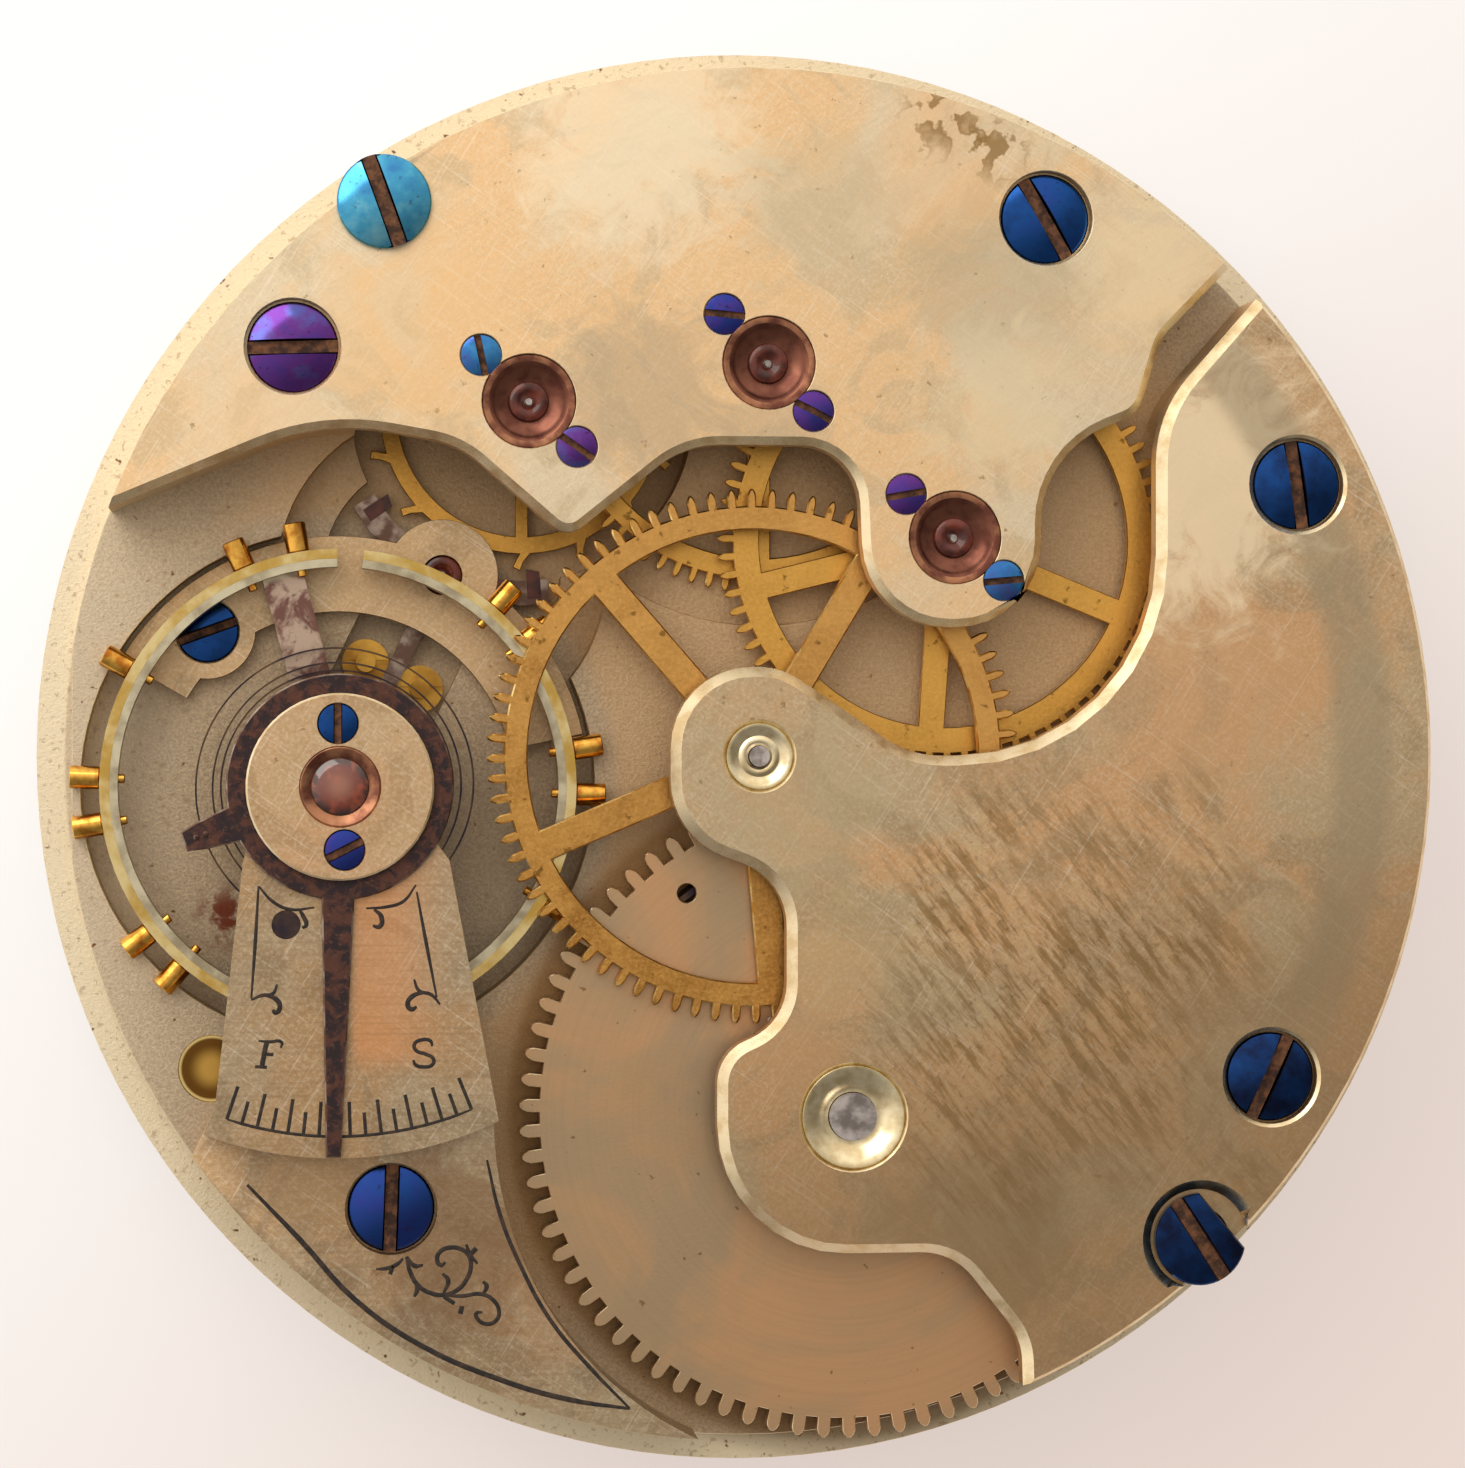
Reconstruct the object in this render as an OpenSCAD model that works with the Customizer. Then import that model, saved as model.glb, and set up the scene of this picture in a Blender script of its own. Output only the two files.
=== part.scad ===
// Sixteen size pocket watch movement, bridge model, train side up.
// Origin: centre of the pillar plate's dial face. All sizes in millimetres.

/* [Frame] */
// Diameter of the pillar plate's rim, the 16 size dimension
plate_d = 43.18; // [42.6:0.02:46]
// Thickness of the rim flange
flange_t = 2.5; // [2.3:0.05:2.7]
// Diameter of the plate's body above the flange
body_d = 41.5; // [41.4:0.05:42]
// Thickness of the plate over its body
plate_t = 3.1; // [3:0.02:3.15]
// Height of the bridges' top above the dial face
bridge_top = 5.75; // [5.7:0.05:6.2]
// Height of the bridges' underside over the wheels
bridge_under = 4.8; // [4.78:0.01:4.85]
// Diameter of the bridges' outer edge
bridge_d = 41.3; // [41:0.05:41.4]

/* [Train] */
// Distance of the third wheel from the centre
third_from_center = 8.87; // [8.8:0.01:8.95]
// Distance of the fourth wheel from the third
fourth_from_third = 7.68; // [7.6:0.01:7.75]
// Distance of the escape wheel from the fourth
escape_from_fourth = 7.3; // [7.25:0.01:7.35]
// Distance of the barrel from the centre
barrel_from_center = 11.2; // [11.15:0.01:11.25]
// Thickness of the centre wheel
center_wheel_t = 0.32; // [0.25:0.01:0.36]
// Thickness of the third wheel
third_wheel_t = 0.2; // [0.15:0.01:0.22]
// Thickness of the fourth wheel
fourth_wheel_t = 0.22; // [0.15:0.01:0.24]
// Length of the pivots that run in the jewels
// Radius of the train pivots
pivot_r = 0.1; // [0.08:0.005:0.12]
// Running clearance of a pivot in its hole
run_gap = 0.02; // [0.015:0.005:0.03]

/* [Barrel] */
// Radius of the barrel drum
drum_r = 9; // [8.9:0.02:9.04]
// Height of the whole barrel
barrel_h = 2.54; // [2.4:0.02:2.54]
// Wall of the drum
drum_wall = 0.4; // [0.3:0.02:0.5]
// Thickness of the toothed ring
barrel_tooth_t = 0.5; // [0.4:0.02:0.52]
// Thickness of the mainspring's blade
mainspring_t = 0.18; // [0.12:0.01:0.2]

/* [Balance] */
// Distance of the balance from the centre
balance_from_center = 12.54; // [12.5:0.01:12.6]
// Outer radius of the balance rim
rim_r = 7.15; // [7.05:0.01:7.2]
// Width of the brass layer of the rim
rim_brass = 0.3; // [0.2:0.01:0.35]
// Width of the steel layer of the rim
rim_steel = 0.25; // [0.2:0.01:0.3]
// Height of the rim
rim_h = 0.85; // [0.7:0.01:0.9]
// Radius of a timing screw's head
timing_head_r = 0.35; // [0.25:0.01:0.37]
// Length of a timing screw's head
timing_head_l = 0.88; // [0.6:0.01:0.9]
// Pitch of the hairspring's coils
spring_pitch = 0.5; // [0.47:0.01:0.55]
// Thickness of the hairspring's ribbon
spring_t = 0.05; // [0.04:0.005:0.06]
// Height of the hairspring's ribbon
spring_h = 0.25; // [0.2:0.01:0.3]
// Gap between the balance rim and the wall of its recess
recess_gap = 0.6; // [0.5:0.05:0.7]

/* [Screws] */
// Radius of a plate screw's head
plate_screw_r = 1.35; // [1.2:0.05:1.4]
// Radius of a case screw's head
case_screw_r = 1.4; // [1.3:0.05:1.45]
// Radius of a jewel screw's head
jewel_screw_r = 0.6; // [0.5:0.02:0.64]
// Distance of the plate screws from the centre
plate_screw_ring = 18.45; // [18.4:0.05:18.5]
// Distance of the case screws from the centre
case_screw_ring = 19.9; // [19.85:0.05:19.95]

/* [Hidden] */
$fn = 64;

// Tooth counts
BARREL_TEETH = 78;
CENTER_LEAVES = 12;
CENTER_TEETH = 80;
THIRD_LEAVES = 10;
THIRD_TEETH = 75;
FOURTH_LEAVES = 10;
FOURTH_TEETH = 80;
ESCAPE_LEAVES = 8;
ESCAPE_TEETH = 15;
RATCHET_TEETH = 36;
IDLER_TEETH = 45;
CROWN_TEETH = 29;
WINDING_TEETH = 19;
CANNON_LEAVES = 12;
MINUTE_TEETH = 36;
MINUTE_LEAVES = 10;
HOUR_TEETH = 40;

// Colours
NICKEL = [0.72, 0.68, 0.6];
BLUED = [0.12, 0.14, 0.4];
BRASS = [0.86, 0.62, 0.22];
GILT = [0.85, 0.55, 0.22];
STEEL = [0.5, 0.5, 0.52];
GARNET = [0.45, 0.1, 0.08];

// Clearances that every seat and gap uses
seat_gap = 0.01;

function polar(c, r, a) = c + r * [cos(a), sin(a)];
function bearing(a, b) = atan2(b[1] - a[1], b[0] - a[0]);
function arc(c, r, a0, a1, n) = [for (i = [0:n]) polar(c, r, a0 + (a1 - a0) * i / n)];

// Places of the axes, from the centre distances and the directions that the photograph gives
CENTER = [0, 0];
THIRD = polar(CENTER, third_from_center, 48);
FOURTH = polar(THIRD, fourth_from_third, 137.3);
ESCAPE = polar(FOURTH, escape_from_fourth, 189.6);
BARREL = polar(CENTER, barrel_from_center, -75.3);
BALANCE = polar(CENTER, balance_from_center, 184.1);
// Straight line escapement: the fork lies on the line from the balance to the escape wheel
fork_from_balance = 7.15;
FORK = polar(BALANCE, fork_from_balance, bearing(BALANCE, ESCAPE));
escape_r = norm(ESCAPE - FORK) * cos(30);
PLATE_SCREWS = [for (a = [61.8, 138.9, 26.6, -31.9]) polar(CENTER, plate_screw_ring, a)];
CASE_UPPER = polar(CENTER, case_screw_ring, 124.3);
CASE_LOWER = polar(CENTER, case_screw_ring, -47.4);
COCK_SCREW = polar(CENTER, 17.4, 230.9);
FORK_BRIDGE_SCREW = polar(BALANCE, rim_r - 1, 130.3);
banking_head_r = 0.72;
banking_off = 0.92;
channel_half = banking_off + banking_head_r + 0.1;
BANKING = [for (s = [-1, 1]) polar(polar(BALANCE, 3.75, bearing(BALANCE, FORK)), banking_off,
    bearing(BALANCE, FORK) + 90 * s)];
DIAL_FOOT = polar(CENTER, 18.85, 210);
DIAL_FEET = [polar(CENTER, 18.85, 98), polar(CENTER, 18.85, 348)];

// Levels, from the dial face upward
barrel_z = 1.35;
barrel_top = barrel_z + barrel_h;
recess_z = 1.9;
well_z = 1.1;
center_z = 4;
third_z = 3.45;
fourth_z = 2.85;
fourth_floor = 2.7;
escape_z = 1.45;
escape_t = 0.15;
fork_z = 1.45;
fork_t = 0.2;
rim_z = 3;
arm_t = 0.3;
spring_z = 3.5;
cock_under = 4.55;
foot_top = 4.95;
winding_z = 4.42;
winding_t = 0.3;
stem_z = 2;
stem_r = 0.7;
jewel_drop = 0.06;
setting_r = 1.4;
setting_h = 0.45;

// Gear sizes from the centre distances and the counts
function share(d, a, b) = d * a / (a + b);
center_r = share(third_from_center, CENTER_TEETH, THIRD_LEAVES);
third_leaf_r = share(third_from_center, THIRD_LEAVES, CENTER_TEETH);
third_r = share(fourth_from_third, THIRD_TEETH, FOURTH_LEAVES);
fourth_leaf_r = share(fourth_from_third, FOURTH_LEAVES, THIRD_TEETH);
fourth_r = share(escape_from_fourth, FOURTH_TEETH, ESCAPE_LEAVES);
escape_leaf_r = share(escape_from_fourth, ESCAPE_LEAVES, FOURTH_TEETH);
barrel_r = share(barrel_from_center, BARREL_TEETH, CENTER_LEAVES);
center_leaf_r = share(barrel_from_center, CENTER_LEAVES, BARREL_TEETH);
winding_module = 0.2;
ratchet_r = winding_module * RATCHET_TEETH / 2;
idler_r = winding_module * IDLER_TEETH / 2;
crown_r = winding_module * CROWN_TEETH / 2;
IDLER = polar(BARREL, ratchet_r + idler_r, 44);
CROWN = [IDLER[0] + sqrt(pow(idler_r + crown_r, 2) - IDLER[1] * IDLER[1]), 0];
motion_module = 0.15;
minute_d = motion_module * (CANNON_LEAVES + MINUTE_TEETH) / 2;
MINUTE = polar(CENTER, minute_d, 30);
hour_r = share(minute_d, HOUR_TEETH, MINUTE_LEAVES);
minute_leaf_r = share(minute_d, MINUTE_LEAVES, HOUR_TEETH);

// A gear's phase so that it meshes with its driver, whose tooth lies at phase
function mesh_phase(driver, driver_n, phase, driven, driven_n) =
    let (b = bearing(driver, driven))
    b + 180 - (phase - b) * driver_n / driven_n + 180 / driven_n;
barrel_phase = 3;
center_leaf_phase = mesh_phase(BARREL, BARREL_TEETH, barrel_phase, CENTER, CENTER_LEAVES);
center_phase = 59;
third_leaf_phase = mesh_phase(CENTER, CENTER_TEETH, center_phase, THIRD, THIRD_LEAVES);
third_phase = -22;
fourth_leaf_phase = mesh_phase(THIRD, THIRD_TEETH, third_phase, FOURTH, FOURTH_LEAVES);
fourth_phase = 270;
escape_leaf_phase = mesh_phase(FOURTH, FOURTH_TEETH, fourth_phase, ESCAPE, ESCAPE_LEAVES);
ratchet_phase = 0;
idler_phase = mesh_phase(BARREL, RATCHET_TEETH, ratchet_phase, IDLER, IDLER_TEETH);
crown_phase = mesh_phase(IDLER, IDLER_TEETH, idler_phase, CROWN, CROWN_TEETH);
winding_phase = 180 - crown_phase * CROWN_TEETH / WINDING_TEETH;
cannon_phase = 0;
minute_phase = mesh_phase(CENTER, CANNON_LEAVES, cannon_phase, MINUTE, MINUTE_TEETH);
minute_leaf_phase = 10;
hour_phase = mesh_phase(MINUTE, MINUTE_LEAVES, minute_leaf_phase, CENTER, HOUR_TEETH);

// A corner b of a path from a to c, rounded to radius r
function corner(a, b, c, r) =
    let (u = (a - b) / norm(a - b), v = (c - b) / norm(c - b), half = acos(u * v) / 2,
        o = b + (u + v) / norm(u + v) * r / sin(half), d = r / tan(half),
        a0 = bearing(o, b + u * d), a1 = bearing(o, b + v * d))
    arc(o, r, a0, a0 + (a1 - a0 + 540) % 360 - 180, 8);
function place(p) = [p[0], p[1]];
// A closed path whose points are [x, y, corner radius]
function rounded(path) =
    let (n = len(path))
    [for (i = [0:n - 1]) each path[i][2] == 0 ? [place(path[i])]
        : corner(place(path[(i + n - 1) % n]), place(path[i]), place(path[(i + 1) % n]), path[i][2])];

// The outline of a gear: width is the share of the pitch that a tooth takes
function gear_points(n, r, width, up, down, phase) =
    let (w = 360 / n * width / 2)
    [for (i = [0:n - 1]) let (a = phase + i * 360 / n) each [
        polar([0, 0], r - down, a - w * 1.05), polar([0, 0], r, a - w),
        polar([0, 0], r + up * 0.6, a - w * 0.72), polar([0, 0], r + up, a - w * 0.25),
        polar([0, 0], r + up, a + w * 0.25), polar([0, 0], r + up * 0.6, a + w * 0.72),
        polar([0, 0], r, a + w), polar([0, 0], r - down, a + w * 1.05)]];
module gear(n, r, h, phase, width = 0.42, up = 1.15) {
    m = 2 * r / n;
    linear_extrude(h) polygon(gear_points(n, r, width, up * m, 1.5 * m, phase));
}
module leaves(n, r, h, phase) {
    m = 2 * r / n;
    linear_extrude(h) polygon(gear_points(n, r, 0.34, 0.75 * m, 1.6 * m, phase));
}
// A toothed wheel with five arms between hub and rim
module crossed_wheel(n, r, h, phase, rim_in, hub, arm_w) {
    difference() {
        gear(n, r, h, phase);
        translate([0, 0, -1]) linear_extrude(h + 2) difference() {
            circle(rim_in);
            circle(hub);
            for (i = [0:4]) rotate(phase + i * 72)
                translate([0, -arm_w / 2]) square([rim_in + 1, arm_w]);
        }
    }
}
module at(p, z) { translate([p[0], p[1], z]) children(); }
module bore(p, z0, z1, r) { at(p, z0) cylinder(h = z1 - z0, r = r); }
// A screw with its slot, its head's top at z = 0
module screw(head_r, head_h, shank_r, shank_l, slot_w, slot_angle) {
    difference() {
        union() {
            translate([0, 0, -head_h]) cylinder(h = head_h, r = head_r);
            translate([0, 0, -head_h - shank_l]) cylinder(h = shank_l, r = shank_r);
        }
        rotate(slot_angle) translate([-head_r - 1, -slot_w / 2, -head_h * 0.45])
            cube([2 * head_r + 2, slot_w, head_h]);
    }
}
module ring(outer, inner, h) {
    difference() {
        cylinder(h = h, r = outer);
        translate([0, 0, -1]) cylinder(h = h + 2, r = inner);
    }
}

// Pillar plate
screw_hole_r = 0.58;
shank_r = 0.55;
clear_hole_r = 0.65;
sunk_gap = 0.08;
recess_r = rim_r + recess_gap;
drum_well_r = drum_r + 0.15;
well_floor = barrel_z - 0.15;
escape_well_r = escape_r + 0.35;
fork_well_r = 3.65;
fourth_well_r = 7.8;
fork_bay_r = 5;
low_jewel_z = fourth_floor - 0.5 + seat_gap;
motion_depth = 0.9;
balance_pit_r = 2.2;
jewel_r = 0.6;
module pillar_plate() {
    color(NICKEL) difference() {
        union() {
            cylinder(h = flange_t, r = plate_d / 2, $fn = 128);
            cylinder(h = plate_t, r = body_d / 2, $fn = 128);
        }
        // flat on the body beside the balance
        translate([-plate_d, -plate_d / 2, flange_t]) cube([plate_d - 20.5, plate_d, plate_t]);
        bore(BALANCE, recess_z, plate_t + 1, recess_r);
        bore(BALANCE, well_z, plate_t, balance_pit_r);
        difference() {
            bore(FORK, well_z, plate_t + 1, fork_well_r);
            bore(BALANCE, well_z - 1, recess_z, 6.3);
        }
        at(BALANCE, well_z) rotate(bearing(BALANCE, FORK)) translate([0, -channel_half, 0])
            cube([fork_from_balance, 2 * channel_half, plate_t]);
        bore(ESCAPE, well_z, plate_t + 1, escape_well_r);
        bore(BARREL, well_floor, plate_t + 1, drum_well_r);
        bore(BARREL, -1, plate_t, arbor_low_r + run_gap);
        // dial side recess for the motion works
        bore(CENTER, -1, motion_depth, hour_r + 0.6);
        bore(MINUTE, -1, motion_depth, motion_module * MINUTE_TEETH / 2 + 0.5);
        bore(CENTER, -1, plate_t + 1, center_post_r + run_gap);
        for (p = [THIRD, FOURTH]) bore(p, low_jewel_z - seat_gap, plate_t + 1, jewel_r + seat_gap);
        bore(FOURTH, fourth_floor, plate_t + 1, fourth_well_r);
        bore(FORK, recess_z, plate_t + 1, fork_bay_r);
        bore(THIRD, 1.9, plate_t + 1, 0.3);
        bore(FOURTH, -1, plate_t + 1, 0.3);
        bore(ESCAPE, 0.7, plate_t, jewel_r + seat_gap);
        bore(FORK, 0.7, plate_t, jewel_r + seat_gap);
        bore(BALANCE, -1, plate_t, jewel_r + seat_gap);
        bore(MINUTE, 0, 2, minute_post_r + seat_gap);
        // steady and threaded holes
        for (p = PLATE_SCREWS) bore(p, 1, plate_t + 1, screw_hole_r);
        for (p = [CASE_UPPER, CASE_LOWER]) bore(p, 1, plate_t + 1, screw_hole_r);
        bore(COCK_SCREW, 1, plate_t + 1, screw_hole_r);
        bore(FORK_BRIDGE_SCREW, 0.6, plate_t, 0.42);
        bore(DIAL_FOOT, -1, plate_t + 1, 1 + seat_gap);
        for (p = DIAL_FEET) bore(p, -1, 2.2, dial_foot_r);
        // winding pinion and clutch cavity, the setting lever's pocket, and the stem's way in
        translate([clutch_x - 0.1, -1.8, 0.35]) cube([winding_x + 1.25 - clutch_x, 3.6, 3.5]);
        translate([LEVER[0] - 1.1, 1.7, -1]) cube([2.2, LEVER[1] - 0.9, stem_z + 1.3]);
        bore(LEVER, 0, plate_t - 0.3, 0.35 + run_gap);
        translate([clutch_x, 0, stem_z]) rotate([0, 90, 0]) cylinder(h = 12, r = stem_r);
    }
}

// Bridges: a slab over the wheels, and a foot on the plate where no wheel turns
TRAIN_EDGE = rounded([[-21.5, 6.4, 0], [-13, 10, 7], [-9, 9.3, 3], [-5.75, 6.5, 0.7], [-2.2, 9.35, 3],
    [3, 9.35, 1.8], [3.24, 3.9, 2.6], [8.6, 3.9, 2.6], [8.6, 9.2, 3.2], [11.6, 10.4, 1],
    [12.3, 12.7, 1.5], [15.9, 16.4, 0], [16, 24, 0], [-24, 24, 0]]);
BARREL_EDGE = rounded([[16.9, 15.8, 0], [12.15, 10.4, 4], [12.15, 0.02, 6.1], [4.6, 0.02, 3],
    [0.7, 2.68, 2.3], [-2.65, 2.7, 2.45], [-2.65, -2.4, 2.45], [0.85, -3.7, 2], [0.85, -8, 1.8],
    [-1.25, -8.9, 1.4], [-1.25, -14.95, 3.9], [5.9, -14.95, 2], [8, -17.6, 2], [8.2, -24, 0],
    [24, -24, 0], [24, 15.8, 0]]);
module inside_rim() {
    intersection() {
        circle(bridge_d / 2, $fn = 128);
        children();
    }
}
module train_sweeps() {
    at(FOURTH, 0) circle(fourth_r + 0.6);
    at(THIRD, 0) circle(third_r + 0.6);
    at(ESCAPE, 0) circle(escape_well_r);
    circle(center_r + 0.6);
    at(BALANCE, 0) circle(rim_r + timing_head_l + 0.4);
    at(BARREL, 0) circle(barrel_r + 0.5);
}
module winding_sweeps() {
    at(BARREL, 0) circle(ratchet_r + 0.5);
    at(IDLER, 0) circle(idler_r + 0.4);
    at(CROWN, 0) circle(crown_r + 0.4);
    translate([clutch_x - 0.1, -1.8]) square([winding_x + 1.25 - clutch_x, 3.6]);
    at(CLICK, 0) circle(1.3);
    at(CLICK_ANCHOR, 0) circle(0.9);
    at(CLICK, 0) rotate(bearing(CLICK, CLICK_ANCHOR)) translate([0, -0.9]) square([3, 1.8]);
}
module jewel_seat(p) {
    bore(p, bridge_top - setting_h - jewel_drop, bridge_top + 1, setting_r + seat_gap);
    bore(p, bridge_under - 1, bridge_top + 1, 0.8);
}
module screw_seat(p, z, head_r, head_h) {
    bore(p, z - head_h - seat_gap, z + 1, head_r + sunk_gap);
    bore(p, 0, z + 1, clear_hole_r);
}
plate_head_h = 0.5;
case_head_h = 0.42;
TRAIN_JEWELS = [ESCAPE, FOURTH, THIRD];
TRAIN_SCREW_WAYS = [136.5, 133, 139];
jewel_screw_off = setting_r + jewel_screw_r - 0.03;
JEWEL_SCREWS = [for (i = [0:2]) for (s = [0, 180])
    polar(TRAIN_JEWELS[i], jewel_screw_off, TRAIN_SCREW_WAYS[i] + s)];
jewel_head_h = 0.3;
jewel_shank_l = 0.4;
module train_bridge() {
    color(NICKEL) difference() {
        union() {
            translate([0, 0, bridge_under]) linear_extrude(bridge_top - bridge_under)
                inside_rim() polygon(TRAIN_EDGE);
            translate([0, 0, plate_t]) linear_extrude(bridge_under - plate_t) difference() {
                inside_rim() polygon(TRAIN_EDGE);
                train_sweeps();
            }
        }
        for (p = TRAIN_JEWELS) jewel_seat(p);
        for (p = JEWEL_SCREWS) {
            bore(p, bridge_top - jewel_head_h - seat_gap, bridge_top + 1, jewel_screw_r + 0.03);
            bore(p, bridge_under - 0.1, bridge_top + 1, 0.26);
        }
        for (p = [PLATE_SCREWS[0], PLATE_SCREWS[1]])
            screw_seat(p, bridge_top, plate_screw_r, plate_head_h);
        bore(CASE_UPPER, 0, bridge_top + 1, clear_hole_r);
    }
}
module barrel_bridge() {
    color(NICKEL) difference() {
        union() {
            translate([0, 0, bridge_under]) linear_extrude(bridge_top - bridge_under)
                inside_rim() polygon(BARREL_EDGE);
            translate([0, 0, plate_t]) linear_extrude(bridge_under - plate_t) difference() {
                inside_rim() polygon(BARREL_EDGE);
                train_sweeps();
                winding_sweeps();
            }
        }
        bore(CENTER, bridge_under - 1, bridge_top + 1, center_bush_r + seat_gap);
        bore(BARREL, bridge_under - 1, bridge_top + 1, barrel_bush_r + seat_gap);
        for (p = [PLATE_SCREWS[2], PLATE_SCREWS[3]])
            screw_seat(p, bridge_top, plate_screw_r, plate_head_h);
        bore(CASE_LOWER, 0, bridge_top + 1, clear_hole_r);
        bore(CASE_LOWER, case_lower_top - case_head_h - seat_gap, bridge_top + 1,
            case_screw_r + case_seat_gap);
        for (p = [IDLER, CROWN, CLICK, CLICK_ANCHOR]) bore(p, 0, post_top + seat_gap, post_r + seat_gap);
    }
}

// Balance cock: the graduated table over the balance, and a lower foot along the plate's rim
table_r = 11;
table_left = 250;
table_right = 295.3;
boss_r = 3.25;
foot_bay_r = barrel_r + 1.05;
TABLE = concat(arc(BALANCE, boss_r, -30, 213, 36), [polar(BALANCE, 3.6, 217.8)],
    arc(BALANCE, table_r, table_left, table_right, 24), [polar(BALANCE, 3.9, 326)]);
module foot_outline() {
    difference() {
        circle(body_d / 2 - 0.12, $fn = 128);
        at(BALANCE, 0) circle(rim_r + timing_head_l + 0.45);
        at(BARREL, 0) circle(foot_bay_r);
        // cut back along the table's left side, and above the table's right side
        polygon([polar(BALANCE, 7, table_left + 0.5), polar(BALANCE, 13.5, table_left - 2),
            [-40, -30], [-40, 40], [40, 40], [40, -16], polar(BALANCE, table_r + 0.1, table_right + 0.5),
            polar(BALANCE, 8.5, table_right + 0.5)]);
    }
}
module cock_foot_outline() {
    intersection() {
        foot_outline();
        translate([-22, -22]) square([21.2, 16]);
    }
}
module balance_cock() {
    color(NICKEL) difference() {
        union() {
            translate([0, 0, cock_under]) linear_extrude(bridge_top - cock_under) polygon(TABLE);
            translate([0, 0, plate_t]) linear_extrude(foot_top - plate_t) cock_foot_outline();
            translate([0, 0, plate_t]) linear_extrude(bridge_top - plate_t) intersection() {
                cock_foot_outline();
                at(BALANCE, 0) circle(table_r, $fn = 128);
            }
        }
        bore(BALANCE, cock_under - 1, bridge_top + 1, jewel_r + seat_gap);
        bore(STUD, cock_under - 1, bridge_top + 1, stud_r + seat_gap);
        screw_seat(COCK_SCREW, foot_top, plate_screw_r - 0.05, plate_head_h);
        for (a = CAP_SCREW_WAYS)
            bore(polar(BALANCE, cap_screw_ring, a), cock_under - 1, bridge_top + 1, 0.26);
    }
}

// Pallet bridge: a band across the balance recess, over the fork
band_in = rim_r - 1.85;
band_start = 12;
band_out = recess_r - 0.15;
pallet_bridge_t = 0.55;
module pallet_bridge() {
    color(NICKEL) translate([0, 0, recess_z]) difference() {
        linear_extrude(pallet_bridge_t) union() {
            polygon(concat(arc(BALANCE, band_out, band_start, 150, 48),
                arc(BALANCE, band_in, 150, band_start, 48)));
            at(FORK, 0) circle(1.7);
            at(FORK_BRIDGE_SCREW, 0) circle(1.45);
        }
        bore(FORK, -1, 1, jewel_r + seat_gap);
        bore(FORK_BRIDGE_SCREW, -1, 1, 0.42);
        bore(FORK_BRIDGE_SCREW, pallet_bridge_t - 0.33 - seat_gap, 1, 0.98);
    }
}
module pallet_bridge_screw() {
    color(BLUED) at(FORK_BRIDGE_SCREW, recess_z + pallet_bridge_t)
        screw(0.95, 0.33, 0.4, 1.1, 0.22, 20);
}

// Plate, cock and jewel screws
PLATE_SLOTS = [120, 2, 98, 65];
module plate_screws() {
    color(BLUED) for (i = [0:3]) at(PLATE_SCREWS[i], bridge_top)
        screw(plate_screw_r, plate_head_h, shank_r, 3.6, 0.36, PLATE_SLOTS[i]);
}
module cock_screw() {
    color(BLUED) at(COCK_SCREW, foot_top)
        screw(plate_screw_r - 0.05, plate_head_h, shank_r, 2.9, 0.36, 88);
}
JEWEL_SLOTS = [102, 145, 175, 153, 10, 5];
module jewel_screws() {
    color(BLUED) for (i = [0:5]) at(JEWEL_SCREWS[i], bridge_top)
        screw(jewel_screw_r, jewel_head_h, 0.22, jewel_shank_l, 0.2, JEWEL_SLOTS[i]);
}
cap_top = bridge_top + 0.5;
cap_r = 2.65;
cap_screw_ring = 1.87;
CAP_SCREW_WAYS = [92, 274];
CAP_SLOTS = [90, 27];
module cap_screws() {
    color(BLUED) for (i = [0:1]) at(polar(BALANCE, cap_screw_ring, CAP_SCREW_WAYS[i]), cap_top)
        screw(jewel_screw_r, 0.28, 0.22, 1.4, 0.2, CAP_SLOTS[i]);
}

// Case screws: their wide heads reach over the case's ledge, and the lower one lies in a seat
// and has a side cut away, so that it lets go of the case when it is turned
case_upper_top = bridge_top + 0.03 + case_head_h;
case_lower_top = bridge_top + 0.09;
case_seat_gap = 0.1;
module case_screw_upper() {
    color(BLUED) at(CASE_UPPER, case_upper_top) screw(case_screw_r, case_head_h, shank_r, 3.8, 0.4, 110);
}
module case_screw_lower() {
    color(BLUED) at(CASE_LOWER, case_lower_top) difference() {
        screw(case_screw_r, case_head_h, shank_r, 3.8, 0.4, 123);
        rotate(40) translate([case_screw_r * 0.62, -2, -case_head_h]) cube([2, 4, 2]);
    }
}

// Jewels: dished settings screwed to the bridge, and a hole jewel in each
module jewel_profile(r, h, hole) {
    rotate_extrude() polygon([[hole, 0], [r, 0], [r, h], [r * 0.55, h], [hole, h * 0.55]]);
}
module train_jewel_settings() {
    color(GARNET) difference() {
        for (p = TRAIN_JEWELS) at(p, bridge_top - setting_h - jewel_drop) rotate_extrude()
            polygon([[jewel_r + seat_gap, 0], [setting_r, 0], [setting_r, setting_h],
                [setting_r - 0.18, setting_h], [jewel_r + 0.2, setting_h - 0.2],
                [jewel_r + seat_gap, setting_h - 0.2]]);
        for (p = JEWEL_SCREWS) bore(p, bridge_top - 1, bridge_top + 1, jewel_screw_r + 0.03);
    }
}
module train_jewels() {
    color(GARNET) {
        for (p = TRAIN_JEWELS) at(p, bridge_top - setting_h - jewel_drop)
            jewel_profile(jewel_r, 0.28, pivot_r + run_gap);
        at(FORK, recess_z + pallet_bridge_t - 0.33) jewel_profile(jewel_r, 0.3, pivot_r + run_gap);
    }
}
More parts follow.
